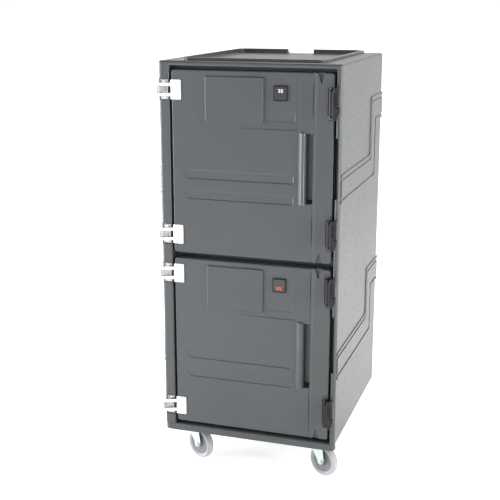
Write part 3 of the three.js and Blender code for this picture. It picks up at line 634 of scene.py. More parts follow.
def make_finishes():
    """Makes every finish once, from the scene's colours."""
    colours = bpy.context.scene.cart_colours
    moulding = tuple(colours.moulding)
    FINISHES.update(
        moulding=polyethylene("moulded_polyethylene", moulding),
        door=polyethylene("door_polyethylene", moulding, pebble=0.8, roughness=0.31),
        liner=polyethylene("liner_polyethylene", tuple(colours.liner), pebble=0.5, roughness=0.4),
        rack=nylon("rack_plastic", (0.05, 0.052, 0.055), 0.5),
        module=nylon("module_plastic", (0.036, 0.038, 0.041), 0.5),
        foam=foam("rigid_foam", (0.70, 0.58, 0.30)),
        gasket=soft_rubber("gasket_rubber", (0.012, 0.012, 0.013)),
        stainless=brushed_steel("hinge_stainless", tuple(colours.stainless), (1, 1, 0.04)),
        # The bracket's colour is painted shade: it is the same brushed stainless as the hinge leaf, darkened to
        # stand for the shade on the bracket in its seat in the pillar.
        bracket=brushed_steel("bracket_stainless_painted_shade", (0.42, 0.42, 0.40), (1, 1, 0.04), 0.3),
        pin=brushed_steel("pin_stainless", tuple(colours.stainless), (0.04, 0.04, 1), 0.16),
        heater=brushed_steel("heater_steel", (0.55, 0.52, 0.48), (0.03, 1, 1), 0.35),
        nylon=nylon("latch_nylon", tuple(colours.nylon)),
        display=nylon("display_plastic", (0.004, 0.004, 0.005), 0.3),
        window=clear_window("display_window", (0.004, 0.004, 0.005)),
        white_digit=lit_digit("white_digit", (0.62, 0.66, 0.70), 0.55),
        red_digit=lit_digit("red_digit", (0.75, 0.05, 0.015), 1.0),
        zinc=zinc_plate("zinc_plate", tuple(colours.zinc)),
        bearing=nylon("bearing_seal", (0.012, 0.012, 0.012), 0.4),
        tread=tread_rubber("wheel_tread", tuple(colours.tread)),
        hub=nylon("wheel_hub", (0.16, 0.165, 0.17), 0.45),
        aluminium=extruded_aluminium("fin_aluminium", (0.62, 0.63, 0.64)),
    )


# ---------------------------------------------------------------- cabinet
BAND_RISE = 0.004  # side bands above the side wall
FRONT_RADIUS = 0.0125  # upright front corners
REAR_PROUD = 0.044  # rear foot and handles behind the rear wall
DOOR_GAP = {"side": 0.008, "top": 0.014, "bottom": 0.013}  # bay's edge to a door's edge
FIT_GAP = 0.0003  # between pieces that touch
DECK_RIM = {"side": 0.086, "front": 0.052, "rear": 0.030, "drop": 0.008, "rise": 0.011, "width": 0.014,
            "radius": 0.026}
DECK_NOTCH = 0.116
RIM_GROOVE = {"from_front": 0.013, "width": 0.009, "depth": 0.004, "from_side": 0.03}
LIP_DEPTH = 0.036
LIP_ROUND = {"ends": 0.017, "bottom": 0.009, "top": 0.006}
FOOT = {"height": 0.235, "upright": 0.060, "root": 0.03, "side": 0.010, "round": 0.010,
        "ends": 0.008}
BANDS = ({"below_top": 0.163, "drop": 0.238}, {"below_top": 0.890, "drop": 0.202})
BAND_ARM = 0.110
BAND_RIB = 0.012
BAND_GROOVE = 0.010
BAND_GROOVE_DEPTH = 0.0036
BAND_UPRIGHT = (0.146, 0.251)
HINGE_SEAT = {"depth": 0.005, "margin": 0.004}
FINGER_SLOT = {"height": 0.226, "width": 0.010, "depth": 0.040, "upper": 0.234, "lower": 0.184}
DUCT = {"half_width": 0.1303, "half_height": 0.0903}
OVERSHOOT = 0.01  # a cutting tool's reach past the face it cuts


def cabinet_places():
    """The places on the cabinet that its pieces share, from the CAD frame."""
    low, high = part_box("cabinet_shell")
    lower_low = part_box("lower_door_shell")[0]
    upper_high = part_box("upper_door_shell")[1]
    return {
        "low": low, "high": high, "shoulder": high.z - DECK_RIM["rise"],
        "wall": high.x - BAND_RISE,
        "front": low.y,
        "rear": high.y - REAR_PROUD,
        "floor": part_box("front_left_caster_plate")[1].z + FIT_GAP,
        "bay_low": Vector((lower_low.x - DOOR_GAP["side"], low.y, lower_low.z - DOOR_GAP["bottom"])),
        "bay_high": Vector((upper_high.x + DOOR_GAP["side"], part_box("upper_liner")[0].y,
                            upper_high.z + DOOR_GAP["top"])),
    }


def moulded_block(places, sizes):
    """The cabinet's outer block with the door bay cut out and its frame rounded."""
    front, floor = places["front"], places["floor"]
    body = block((-places["wall"], front, floor), (places["wall"], places["rear"], places["shoulder"]))
    upright = along_axis("z")
    round_edges(body, lambda a, b: upright(a, b) and a.y < 0, FRONT_RADIUS, 7)
    round_edges(body, lambda a, b: upright(a, b) and a.y > 0, sizes.corner_radius, 7)
    bay_low, bay_high = places["bay_low"], places["bay_high"]
    step = front + LIP_DEPTH - 0.004
    bay = [(front - OVERSHOOT, floor - OVERSHOOT), (step, floor - OVERSHOOT), (step, bay_low.z),
           (bay_high.y, bay_low.z), (bay_high.y, bay_high.z), (front - OVERSHOOT, bay_high.z)]
    cut(body, prism(bay, "x", bay_low.x, bay_high.x))
    on_front = on_plane("y", front)

    def round_bay(a, b):
        inside = all(bay_low.x - 1e-4 < p.x < bay_high.x + 1e-4 and p.z < bay_high.z + 1e-4 for p in (a,
                                                                                                      b))
        return on_front(a, b) and inside

    return round_edges(body, round_bay, sizes.frame_radius, 5)


def cut_deck(body, places, sizes):
    """The raised rim round the top deck, its gap at the rear and the groove along the front rail."""
    top, shoulder = places["high"].z, places["shoulder"]
    low = Vector((-places["wall"] + DECK_RIM["side"], places["front"] + DECK_RIM["front"],
                  shoulder - DECK_RIM["drop"]))
    high = Vector((-low.x, places["rear"] - DECK_RIM["rear"], top + OVERSHOOT))
    round_edges(body, on_plane("z", shoulder), sizes.rim_radius * 2, 5)
    width = Vector((DECK_RIM["width"], DECK_RIM["width"], 0))
    rim = rounded_block(low - width, Vector((high.x, high.y, top)) + width, "z",
                        DECK_RIM["radius"] + DECK_RIM["width"], 8)
    round_edges(rim, on_plane("z", top), sizes.rim_radius, 4)
    fuse(body, rim)
    deck = rounded_block(low, high, "z", DECK_RIM["radius"], 7)
    round_edges(deck, on_plane("z", low.z), 0.005, 3)
    cut(body, deck)
    notch = rounded_block((-DECK_NOTCH / 2, high.y - 2 * OVERSHOOT, low.z + 0.0008),
                          (DECK_NOTCH / 2, places["rear"] + OVERSHOOT, top + OVERSHOOT), "y", 0.004, 3)
    start = places["front"] + RIM_GROOVE["from_front"]
    reach = places["wall"] - RIM_GROOVE["from_side"]
    groove = rounded_block((-reach, start, shoulder - RIM_GROOVE["depth"]),
                           (reach, start + RIM_GROOVE["width"], shoulder + 0.002), "x", 0.003, 4)
    return cut(body, notch, groove)


def front_lip(places):
    """The round-edged bumper bar below the door bay."""
    low = Vector((-places["wall"], places["front"], places["low"].z))
    high = Vector((places["wall"], places["front"] + LIP_DEPTH, places["bay_low"].z))
    lip = rounded_block(low, high, "z", LIP_ROUND["ends"], 7)
    round_edges(lip, on_plane("z", low.z), LIP_ROUND["bottom"], 5)
    return round_edges(lip, on_plane("z", high.z), LIP_ROUND["top"], 5)


def rear_foot(places):
    """The flared bumper foot across the back."""
    rear, back, floor = places["rear"], places["high"].y, places["floor"]
    half, root = places["wall"] - FOOT["side"], rear - FOOT["root"]
    outline = [(root, floor), (back, floor), (back, floor + FOOT["upright"]),
               (rear - 0.002, floor + FOOT["height"]), (root, floor + FOOT["height"])]
    foot = prism(outline, "x", -half, half)
    round_edges(foot, along_axis("x"), FOOT["round"], 4)
    return round_edges(foot, on_plane("x", half), FOOT["ends"], 4)


def band_outline(band, places, inset):
    """The Z-shaped outline of a band across the side, drawn in by an inset."""
    rear_top = places["shoulder"] - band["below_top"] - inset
    front_top = rear_top - band["drop"]
    arm = BAND_ARM - 2 * inset
    u0, u1 = BAND_UPRIGHT[0] + inset, BAND_UPRIGHT[1] - inset
    rear_end, front_end = places["rear"] + 0.05, places["front"] - 0.05
    return [(rear_end, rear_top), (u0, rear_top), (u0, front_top), (front_end, front_top),
            (front_end, front_top - arm), (u1, front_top - arm), (u1, rear_top - arm),
            (rear_end, rear_top - arm)]


def side_band(band, places, side):
    """One Z-shaped band: a raised border, a groove and a raised middle, open at both ends."""
    outer = side * places["high"].x
    root, floor = outer - side * 0.009, outer - side * BAND_GROOVE_DEPTH

    def layer(inset, start, end, radius, edge, edge_plane):
        piece = prism(band_outline(band, places, inset), "x", *sorted((start, end)))
        round_edges(piece, along_axis("x"), radius, 5)
        return round_edges(piece, on_plane("x", edge_plane), edge, 3)

    border = layer(0, root, outer, 0.016, 0.0028, outer)
    groove = layer(BAND_RIB, floor, outer + side * 0.005, 0.012, 0.0014, floor)
    middle_top = outer - side * 0.0004
    middle = layer(BAND_RIB + BAND_GROOVE, root, middle_top, 0.009, 0.0018, middle_top)
    fuse(cut(border, groove), middle)
    far = 0.6
    front_trim = block((-far, places["front"] - 0.2, 0), (far, places["front"] + 0.014, 2))
    rear_trim = block((-far, places["rear"] - 0.004, 0), (far, places["rear"] + 0.2, 2))
    return cut(border, front_trim, rear_trim)


def cut_rooms(body, places, sizes):
    """The foam's room, the two compartments, their ducts, the hinge seats and the finger slots."""
    wall = sizes.wall
    bay_low, bay_high = places["bay_low"], places["bay_high"]
    tools = [block((-places["wall"] + wall, bay_high.y + wall, places["floor"] + wall),
                   (places["wall"] - wall, places["rear"] - wall,
                    places["shoulder"] - DECK_RIM["drop"] - wall))]
    for which, module in zip(DOORS, ("cold", "hot")):
        liner_low, liner_high = (corner.copy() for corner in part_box(which + "_liner"))
        grow = Vector((FIT_GAP, FIT_GAP, FIT_GAP))
        tools.append(block(liner_low - grow - Vector((0, OVERSHOOT / 10, 0)), liner_high + grow))
        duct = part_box(module + "_module_heat_sink" if module == "cold" else "hot_module_heater")
        middle_z = (duct[0].z + duct[1].z) / 2
        tools.append(block((-DUCT["half_width"], liner_high.y - OVERSHOOT,
                            middle_z - DUCT["half_height"]),
                           (DUCT["half_width"], places["rear"] + OVERSHOOT,
                            middle_z + DUCT["half_height"])))
        for level in LEVELS:
            hinge_low, hinge_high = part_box(f"{which}_{level}_hinge_leaf")
            margin = HINGE_SEAT["margin"]
            seat = block((-places["high"].x - OVERSHOOT, places["front"] - OVERSHOOT,
                          hinge_low.z - margin),
                         (bay_low.x + OVERSHOOT / 10, places["front"] + HINGE_SEAT["depth"],
                          hinge_high.z + margin))
            tools.append(round_edges(seat, along_axis("y"), 0.003, 2))
        slot_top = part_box(which + "_door_shell")[1].z - FINGER_SLOT[which]
        tools.append(rounded_block((bay_high.x - OVERSHOOT, places["front"] - OVERSHOOT,
                                    slot_top - FINGER_SLOT["height"]),
                                   (bay_high.x + FINGER_SLOT["width"],
                                    places["front"] + FINGER_SLOT["depth"], slot_top),
                                   "y", 0.004, 3))
    return cut(body, *tools)


def model_cabinet():
    """The whole cabinet moulding."""
    sizes = bpy.context.scene.cart_sizes
    places = cabinet_places()
    body = cut_deck(moulded_block(places, sizes), places, sizes)
    fuse(body, front_lip(places), rear_foot(places))
    fuse(body, *(side_band(band, places, side) for band in BANDS for side in (-1, 1)))
    cut_rooms(body, places, sizes)
    soften(body)
    return stand_in(body, "cabinet_shell", FINISHES["moulding"], "charcoal_polyethylene",
                    "cabinet_moulding")


# ---------------------------------------------------------------- doors
CARD = {"left": -0.160, "right": 0.052, "top": 0.030, "bottom": 0.185, "depth": 0.0035, "rim": 0.009,
        "proud": 0.0045}
NICHE = {"left": 0.068, "right": 0.184, "top": 0.145, "bottom": 0.185, "depth": 0.0036}
PANEL_STEP = {"left": -0.027, "right": 0.196, "top": 0.006, "bottom": 0.212, "depth": 0.0026,
              "fade": 0.03,
              "radius": 0.014}
RIB = {"left": -0.255, "right": 0.180, "first": 0.375, "pitch": 0.079, "height": 0.040, "depth": 0.0022}
EDGE_LINE = {"x": 0.250, "width": 0.0018, "run": 0.016, "depth": 0.0030}
GRIP = {"left": 0.197, "right": 0.251, "top": 0.222, "bottom": 0.485, "depth": 0.030, "bar": 0.028,
        "crest": 0.58, "proud": 0.009, "roll": 0.022, "bar_back": 0.016, "sill": 0.012, "end": 0.009}
EDGE_NOTCH = {"x": 0.279, "half": 0.013, "height": 0.036, "depth": 0.010}
LATCH_POCKET = {"left": 0.303, "half": 0.067, "depth": 0.0022}
DISPLAY_HOLE = 0.0027  # display's flange beyond the hole in the door


def recess(low, high, radius, slope):
    """A tool for a shallow recess in a face that looks to -Y, with round corners and sloped sides."""
    tool = rounded_block(low, high, "y", radius, 4)
    pick_faces(tool, lambda f: f.normal.y > 0.99)
    width, height = high[0] - low[0], high[2] - low[2]
    bpy.ops.transform.resize(value=(1 - 2 * slope / width, 1, 1 - 2 * slope / height))
    bpy.ops.object.mode_set(mode="OBJECT")
    return tool


def door_reliefs(front, top, bottom, right, latch_levels):
    """The tools that cut the shallow shapes in a door's face."""
    start = front - 0.001

    def area(size, slope, radius=0.004):
        return recess((size["left"], start, top - size["bottom"]),
                      (size["right"], front + size["depth"], top - size["top"]), radius, slope)

    step = PANEL_STEP
    wedge = prism([(step["left"] - step["fade"], start), (step["right"] + 0.01, start),
                   (step["right"] + 0.01, front + step["depth"]),
                   (step["left"] + step["fade"], front + step["depth"]),
                   (step["left"] - step["fade"], front)], "z", top - step["bottom"] - 0.01,
                   top - step["top"])
    border = rounded_block((step["left"] - 2 * step["fade"], start - 0.002, top - step["bottom"]),
                           (step["right"], front + 2 * step["depth"], top + 0.02), "y", step["radius"],
                           6)
    combine(wedge, [border], "INTERSECT")
    line = EDGE_LINE
    groove = prism([(line["x"] - line["width"], start), (line["x"] + line["run"], start),
                    (line["x"] + line["run"], front), (line["x"], front + line["depth"]),
                    (line["x"] - line["width"], front)], "z", bottom - OVERSHOOT, top + OVERSHOOT)
    tools = [wedge, groove, area(CARD, 0.002), area(NICHE, 0.003)]
    for count in range(bpy.context.scene.cart_sizes.rib_count):
        drop = RIB["first"] + count * RIB["pitch"]
        tools.append(area({**RIB, "top": drop, "bottom": drop + RIB["height"]}, 0.005, 0.008))
    for z in latch_levels:
        pocket = {"left": LATCH_POCKET["left"], "right": right + 0.02,
                  "top": top - z - LATCH_POCKET["half"],
                  "bottom": top - z + LATCH_POCKET["half"], "depth": LATCH_POCKET["depth"]}
        tools.append(area(pocket, 0.0025, 0.007))
    return tools


def edge_notches(front, top, bottom):
    """The tools for the pointed notches in a door's top and bottom edge."""
    tools = []
    for edge, inward in ((top, -1), (bottom, 1)):
        x, half, tip = EDGE_NOTCH["x"], EDGE_NOTCH["half"], edge + inward * EDGE_NOTCH["height"]
        outline = [(x - half, edge - inward * 0.002), (x + half, edge - inward * 0.002),
                   (x + 0.002, tip), (x - 0.002, tip)]
        tool = prism(outline, "y", front - 0.002, front + EDGE_NOTCH["depth"])
        tools.append(tool)
    return tools


def grip_tool(front, top):
    """The tool for the grip pocket, with round corners and a sloped sill."""
    low = Vector((GRIP["left"], front - 0.002, top - GRIP["bottom"]))
    high = Vector((GRIP["right"], front + GRIP["depth"], top - GRIP["top"]))
    tool = rounded_block(low, high, "y", 0.006, 4)
    pick_faces(tool, lambda f: f.normal.y > 0.99)
    bpy.ops.transform.resize(value=(0.92, 1, 1 - GRIP["sill"] / (high.z - low.z)))
    bpy.ops.transform.translate(value=(0, 0, GRIP["sill"] / 2))
    bpy.ops.object.mode_set(mode="OBJECT")
    return tool


def grip_bar(front, top):
    """The rolled bar down the left half of the grip pocket: a quick rise, a crest and a long roll inwards."""
    left, width = GRIP["left"], GRIP["bar"]
    crest, proud, roll = left + GRIP["crest"] * width, GRIP["proud"], GRIP["roll"]
    steps = 10
    outline = [(left - 0.002, front + GRIP["bar_back"]), (left - 0.002, front + 0.001)]
    for step in range(steps + 1):
        turn = math.pi / 2 * step / steps
        outline.append((left + (crest - left) * step / steps, front - proud * math.sin(turn)))
    for step in range(1, steps + 1):
        turn = math.pi / 2 * step / steps
        outline.append((crest + (left + width - crest) * math.sin(turn),
                        front - proud + roll * (1 - math.cos(turn))))
    outline.append((left + width, front + GRIP["bar_back"]))
    foot, head = top - GRIP["bottom"] - 0.003, top - GRIP["top"] + 0.003
    bar = prism(outline, "z", foot - OVERSHOOT, head + OVERSHOOT)
    ends = rounded_block((left - 0.003, front - 2 * proud, foot),
                         (left + width + 0.001, front + 0.02, head), "y",
                         GRIP["end"], 6)
    return combine(bar, [ends], "INTERSECT")


def model_door(which):
    """One door moulding with its grip."""
    sizes = bpy.context.scene.cart_sizes
    low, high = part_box(which + "_door_shell")
    front, back, top, bottom = low.y, high.y, high.z, low.z
    door = rounded_block(low, high, "y", sizes.door_radius, 6)
    round_edges(door, on_plane("y", front), sizes.door_edge, 6)
    round_edges(door, on_plane("y", back), 0.002, 2)
    rim = CARD["rim"]
    frame_low = Vector((CARD["left"] - rim, front - CARD["proud"], top - CARD["bottom"] - rim))
    frame_high = Vector((CARD["right"] + rim, front + 0.002, top - CARD["top"] + rim))
    card_frame = rounded_block(frame_low, frame_high, "y", 0.008, 4)
    round_edges(card_frame, on_plane("y", frame_low.y), 0.0042, 5)
    fuse(door, card_frame)
    latch_levels = [sum(corner.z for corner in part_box(f"{which}_{level}_latch_base")) / 2 for level in LEVELS]
    cut(door, *door_reliefs(front, top, bottom, high.x, latch_levels))
    cut(door, *edge_notches(front, top, bottom), grip_tool(front, top))
    display_low, display_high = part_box(which + "_display_housing")
    border = Vector((DISPLAY_HOLE, 0, DISPLAY_HOLE))
    cut(door, block(display_low + border, display_high - border + Vector((0, 0.0005, 0))))
    fuse(door, grip_bar(front, top))
    cut(door, remade(which + "_door_foam"))
    soften(door, 0.0007, 2, math.radians(32))
    return stand_in(door, which + "_door_shell", FINISHES["door"], "charcoal_polyethylene",
                    which + "_door_moulding")


# ---------------------------------------------------------------- displays
DIGIT = {"width": 0.0075, "height": 0.0120, "bar": 0.0015, "pitch": 0.0110, "depth": 0.0005}
SEGMENTS = {"0": "abcdef", "3": "abcdg", "4": "bcfg", "5": "acdfg", "6": "acdefg", "8": "abcdefg",
            "9": "abcdfg"}
READINGS = {"upper": "38", "lower": "65"}


def digit_bars(figure, corner, depth):
    """The lit bars of one figure, from its lower left corner."""
    w, h, t = DIGIT["width"], DIGIT["height"], DIGIT["bar"]
    flat = {"a": (0, h - t), "g": (0, (h - t) / 2), "d": (0, 0)}
    upright = {"f": (0, h / 2), "b": (w - t, h / 2), "e": (0, 0), "c": (w - t, 0)}
    bars = []
    for segment in SEGMENTS[figure]:
        x, z = flat.get(segment) or upright.get(segment)
        size = (w - t, t) if segment in flat else (t, h / 2 - t / 4)
        shift = t / 2 if segment in flat else 0
        low = Vector((corner.x + x + shift, corner.y, corner.z + z))
        bars.append(block(low, low + Vector((size[0], depth, size[1]))))
    return bars


def model_display(which):
    """A display: housing with a raised bezel, a glossy window and a lit reading."""
    low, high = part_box(which + "_display_housing")
    housing = remade(which + "_display_housing")
    soften(housing, 0.0006, 2)
    stand_in(housing, which + "_display_housing", FINISHES["display"], "display_plastic")
    window = remade(which + "_display_lens")
    soften(window, 0.0004, 2)
    stand_in(window, which + "_display_lens", FINISHES["window"], "display_window")
    lens_low, lens_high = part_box(which + "_display_lens")
    level = lens_high.z - 0.021 if which == "upper" else lens_low.z + 0.006
    start = (lens_low.x + lens_high.x) / 2 - DIGIT["pitch"] + 0.0015
    bars = []
    for count, figure in enumerate(READINGS[which]):
        corner = Vector((start + count * DIGIT["pitch"], lens_low.y - DIGIT["depth"] / 2, level))
        bars += digit_bars(figure, corner, DIGIT["depth"])
    finish = FINISHES["white_digit" if which == "upper" else "red_digit"]
    reading = soften(gather(*bars))
    finished(reading, which + "_reading", finish, "display_window", BODY_OF[which + "_display_lens"])


# ---------------------------------------------------------------- hinges
HINGE = {"leaf": 0.003, "screw": 0.0048, "short": 0.010, "screw_drop": 0.022, "screw_x": 0.020,
         "arm": 0.019,
         "arm_height": 0.012, "knuckle": 0.006, "pin": 0.003, "waist": 0.010}


def pan_screw(centre, radius, height):
    """A domed screw head that looks to -Y, with a cross recess."""
    head = rod(centre, radius, height, "y", 24)
    round_edges(head, on_plane("y", centre[1] - height / 2), height * 0.45, 3)
    slots = []
    for width, rise in ((radius * 1.1, radius * 0.26), (radius * 0.26, radius * 1.1)):
        low = Vector((centre[0] - width / 2, centre[1] - height, centre[2] - rise / 2))
        slots.append(block(low, low + Vector((width, height, rise))))
    cut(head, *slots)
    return soften(head)


def model_hinge(which, level):
    """A hinge: the leaf on the door with its two arms, and the waisted bracket with its pin."""
    stem = f"{which}_{level}_hinge"
    leaf_low, leaf_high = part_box(stem + "_leaf")
    z = (leaf_low.z + leaf_high.z) / 2
    pin_x, pin_y = leaf_low.x + HINGE["knuckle"], leaf_low.y + HINGE["knuckle"]
    door_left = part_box(which + "_door_shell")[0].x
    back = leaf_high.y
    leaf = rounded_block((door_left - 0.002, back - HINGE["leaf"], leaf_low.z),
                         (leaf_high.x - HINGE["short"], back, leaf_high.z),
                         "y", 0.004, 4)
    round_edges(leaf, on_plane("y", back - HINGE["leaf"]), 0.0008, 2)
    for side in (-1, 1):
        middle = z + side * HINGE["arm"]
        half = HINGE["arm_height"] / 2
        outline = [(door_left, back), (door_left + 0.004, back - HINGE["leaf"]),
                   (pin_x, pin_y - HINGE["knuckle"]), (pin_x, pin_y + 0.001)]
        arm = prism(outline, "z", middle - half, middle + half)
        knuckle = rod((pin_x, pin_y, middle), HINGE["knuckle"], HINGE["arm_height"], "z", 28)
        round_edges(knuckle, on_plane("z", middle + half), 0.0008, 2)
        fuse(leaf, arm, knuckle)
    dimple = rod((door_left + HINGE["screw_x"] - 0.010, back - HINGE["leaf"], z), 0.0022, 0.0016, "y",
                 16)
    cut(leaf, dimple)
    soften(leaf, 0.0005, 2, FOLD_ANGLE)
    stand_in(leaf, stem + "_leaf", FINISHES["stainless"], "stainless_steel")
    screws = [pan_screw((door_left + HINGE["screw_x"], back - HINGE["leaf"] - 0.0008,
                         z + side * HINGE["screw_drop"]),
                        HINGE["screw"], 0.0022) for side in (-1, 1)]
    finished(gather(*screws), stem + "_leaf_screws", FINISHES["pin"], "stainless_steel", which + "_door")

    plate_low, plate_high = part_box(stem + "_bracket")
    seat = plate_high.y
    left, right = pin_x + HINGE["knuckle"] + 0.001, cabinet_places()["bay_low"].x - 0.003
    top, bottom, waist = leaf_high.z, leaf_low.z, HINGE["waist"]
    outline = [(left, bottom), (right, bottom), (right, z - 0.022), (right - waist, z - 0.006),
               (right - waist, z + 0.006), (right, z + 0.022), (right, top), (left, top),
               (left, z + 0.022), (left + waist, z + 0.006), (left + waist, z - 0.006),
               (left, z - 0.022)]
    plate = prism(outline, "y", seat - HINGE["leaf"], seat)
    round_edges(plate, along_axis("y"), 0.003, 3)
    half = HINGE["arm"] - HINGE["arm_height"] / 2 - 0.0006
    barrel = rod((pin_x, pin_y, z), HINGE["knuckle"], 2 * half, "z", 28)
    round_edges(barrel, on_plane("z", z + half), 0.0008, 2)
    web = prism([(pin_x - 0.003, pin_y), (pin_x + 0.003, pin_y), (left + 0.022, seat),
                 (left + 0.004, seat)],
                "z", z - half + 0.001, z + half - 0.001)
    upright = rounded_block((right - 0.010, seat - 0.006, z - 0.020), (right - 0.002, seat, z + 0.020),
                            "z", 0.002, 3)
    fuse(plate, barrel, web, upright)
    soften(plate, 0.0005, 2, FOLD_ANGLE)
    # The bracket takes the darkened stainless, which is painted shade for its seat in the pillar.
    stand_in(plate, stem + "_bracket", FINISHES["bracket"], "stainless_steel")
    pin_half = HINGE["arm"] + HINGE["arm_height"] / 2 + 0.002
    pin = rod((pin_x, pin_y, z), HINGE["pin"], 2 * pin_half, "z", 24)
    heads = [rod((pin_x, pin_y, z + side * (pin_half - 0.001)), 0.0046, 0.002, "z", 24) for side in (-1,
                                                                                                     1)]
    fuse(pin, *heads)
    soften(pin, 0.0004, 2)
    screws = [pan_screw(((left + right) / 2, seat - HINGE["leaf"] - 0.0006, z + side * 0.0305), 0.0042,
                        0.002)
              for side in (-1, 1)]
    finished(gather(pin, *screws), stem + "_pin", FINISHES["pin"], "stainless_steel", "cabinet")


# ---------------------------------------------------------------- latches
LATCH = {"barrel": 0.007, "pivot": 0.009, "pin": 0.0028, "bore": 0.0034, "ear": 0.010, "lever": 0.016,
         "tab": 0.016}


def model_latch(which, level):
    """A latch: base with two ears, hooked lever with a thumb tab, and the keeper on the cabinet."""
    stem = f"{which}_{level}_latch"
    base_low, base_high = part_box(stem + "_base")
    lever_low, lever_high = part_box(stem + "_lever")
    x, y = base_low.x + LATCH["barrel"], lever_high.y - LATCH["pivot"]
    z = (base_low.z + base_high.z) / 2
    door_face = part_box(which + "_door_shell")[0].y
    half = (base_high.z - base_low.z) / 2
    face = y + LATCH["barrel"] + 0.001
    base = rounded_block((base_low.x - 0.003, face, base_low.z),
                         (base_high.x, door_face + 0.001, base_high.z),
                         "y", 0.004, 4)
    round_edges(base, on_plane("y", face), 0.002, 3)
    for side in (-1, 1):
        middle = z + side * (half - LATCH["ear"] / 2)
        ear = rod((x, y, middle), LATCH["barrel"], LATCH["ear"], "z", 28)
        neck = block((x - LATCH["barrel"], y, middle - LATCH["ear"] / 2),
                     (x + LATCH["barrel"], face + 0.003, middle + LATCH["ear"] / 2))
        fuse(base, fuse(ear, neck))
    soften(base, 0.0008, 2, FOLD_ANGLE)
    stand_in(base, stem + "_base", FINISHES["nylon"], "black_nylon")
    pin = rod((x, y, z), LATCH["pin"], 2 * half + 0.001, "z", 20)
    soften(pin, 0.0005, 2)
    finished(pin, stem + "_pin", FINISHES["pin"], "stainless_steel", which + "_door")
    model_lever(stem, x, y, z, lever_low, lever_high, half)
    keeper = remade(stem + "_keeper")
    soften(keeper, 0.0012, 3)
    stand_in(keeper, stem + "_keeper", FINISHES["nylon"], "black_nylon")


def model_lever(stem, x, y, z, low, high, half):
    """The lever: a barrel on the pin, a dished plate with finger ribs, a thumb tab and a hook behind."""
    barrel_half = half - LATCH["ear"] - 0.0004
    x0, x1 = x + LATCH["barrel"] + 0.001, high.x
    foot, head = low.z, high.z
    y0 = y - LATCH["lever"]
    outline = [(x0, foot + 0.014), (x0 + 0.003, foot + 0.004), (x0 + 0.008, foot), (x1 - 0.014, foot),
               (x1 - 0.008, foot + 0.010), (x1 - 0.003, foot + 0.024), (x1, foot + 0.030),
               (x1, foot + 0.044),
               (x1 - 0.004, foot + 0.052), (x1 - 0.004, head - 0.016), (x1 - 0.007, head - 0.007),
               (x1 - 0.013, head - 0.001), (x1 - 0.018, head), (x0 + 0.004, head - 0.004),
               (x0, head - 0.014)]
    lever = prism(outline, "y", y0, y - 0.001)
    round_edges(lever, on_plane("y", y0), 0.004, 4)
    dish = rounded_block((x0 + 0.007, y0 - 0.002, foot + 0.058), (x1 - 0.010, y0 + 0.003, head - 0.018),
                         "y", 0.005, 4)
    round_edges(dish, on_plane("y", y0 + 0.003), 0.0016, 3)
    cut(lever, dish)
    barrel = rod((x, y, z), LATCH["barrel"], 2 * barrel_half, "z", 28)
    web = block((x, y0 + 0.005, z - barrel_half), (x0 + 0.004, y - 0.001, z + barrel_half))
    tab_z = foot + 0.037
    tab = rounded_block((x1 - 0.016, low.y, tab_z - LATCH["tab"] / 2),
                        (x1 - 0.001, y0 + 0.002, tab_z + LATCH["tab"] / 2),
                        "y", 0.004, 4)
    round_edges(tab, on_plane("y", low.y), 0.0018, 3)
    ribs = [block((x0 + 0.010, y0 + 0.0012, z + shift), (x1 - 0.014, y0 + 0.004, z + shift + 0.003))
            for shift in (0.004, 0.012, 0.020, 0.028)]
    hook = rounded_block((x1 - 0.008, y - 0.003, z - 0.026), (x1 - 0.004, high.y, z + 0.026), "x",
                         0.003, 3)
    fuse(lever, barrel, web, tab, hook, *ribs)
    bore = rod((x, y, z), LATCH["bore"], 4 * half, "z", 20)
    cut(lever, bore)
    soften(lever, 0.0005, 2, FOLD_ANGLE)
    stand_in(lever, stem + "_lever", FINISHES["nylon"], "black_nylon")


# ---------------------------------------------------------------- casters
CASTER = {"wheel": 0.0635, "width": 0.032, "bore": 0.0054, "leg": 0.004, "inside": 0.019,
          "shoulder": 0.014,
          "trail": 0.042, "axle": 0.005, "front_top": (-0.046, 0.030), "rear_top": (-0.034, 0.034)}
BOLT = {"x": 0.034, "y": 0.042, "radius": 0.0062, "height": 0.0048}  # a mounting plate's bolts, from its middle
PEDAL = {"y": -0.034, "z": 0.138, "reach": 0.054, "arm": 0.028, "toe": 0.036}


def wheel_piece(centre, axis):
    """A grey wheel with a crowned tread, a stepped rim and a hub."""
    r, half = CASTER["wheel"], CASTER["width"] / 2
    hub = half - 0.002
    tread = [(0.046, -0.008), (0.050, -hub + 0.001), (0.0535, -hub - 0.001), (0.0585, -half),
             (r - 0.0028, -half + 0.003),
             (r - 0.0010, -half + 0.008), (r - 0.0001, -0.003), (r - 0.0006, -0.0006),
             (r - 0.0006, 0.0006),
             (r - 0.0001, 0.003), (r - 0.0010, half - 0.008), (r - 0.0028, half - 0.003), (0.0585, half),
             (0.0535, hub + 0.001), (0.050, hub - 0.001), (0.046, 0.008)]
    sides = bpy.context.scene.cart_sizes.tread_sides
    return soften(spun(tread, centre, axis, sides))


def hub_piece(centre, axis):
    """The wheel's darker web and hub, with a raised bearing ring."""
    half = CASTER["width"] / 2 - 0.002
    profile = [(CASTER["bore"], -half), (0.0110, -half), (0.0120, -half + 0.002),
               (0.0165, -half + 0.002),
               (0.0180, -half + 0.004), (0.0220, -0.008), (0.0465, -0.0075), (0.0465, 0.0075),
               (0.0220, 0.008),
               (0.0180, half - 0.004), (0.0165, half - 0.002), (0.0120, half - 0.002), (0.0110, half),
               (CASTER["bore"], half)]
    return soften(spun(profile, centre, axis, 48))


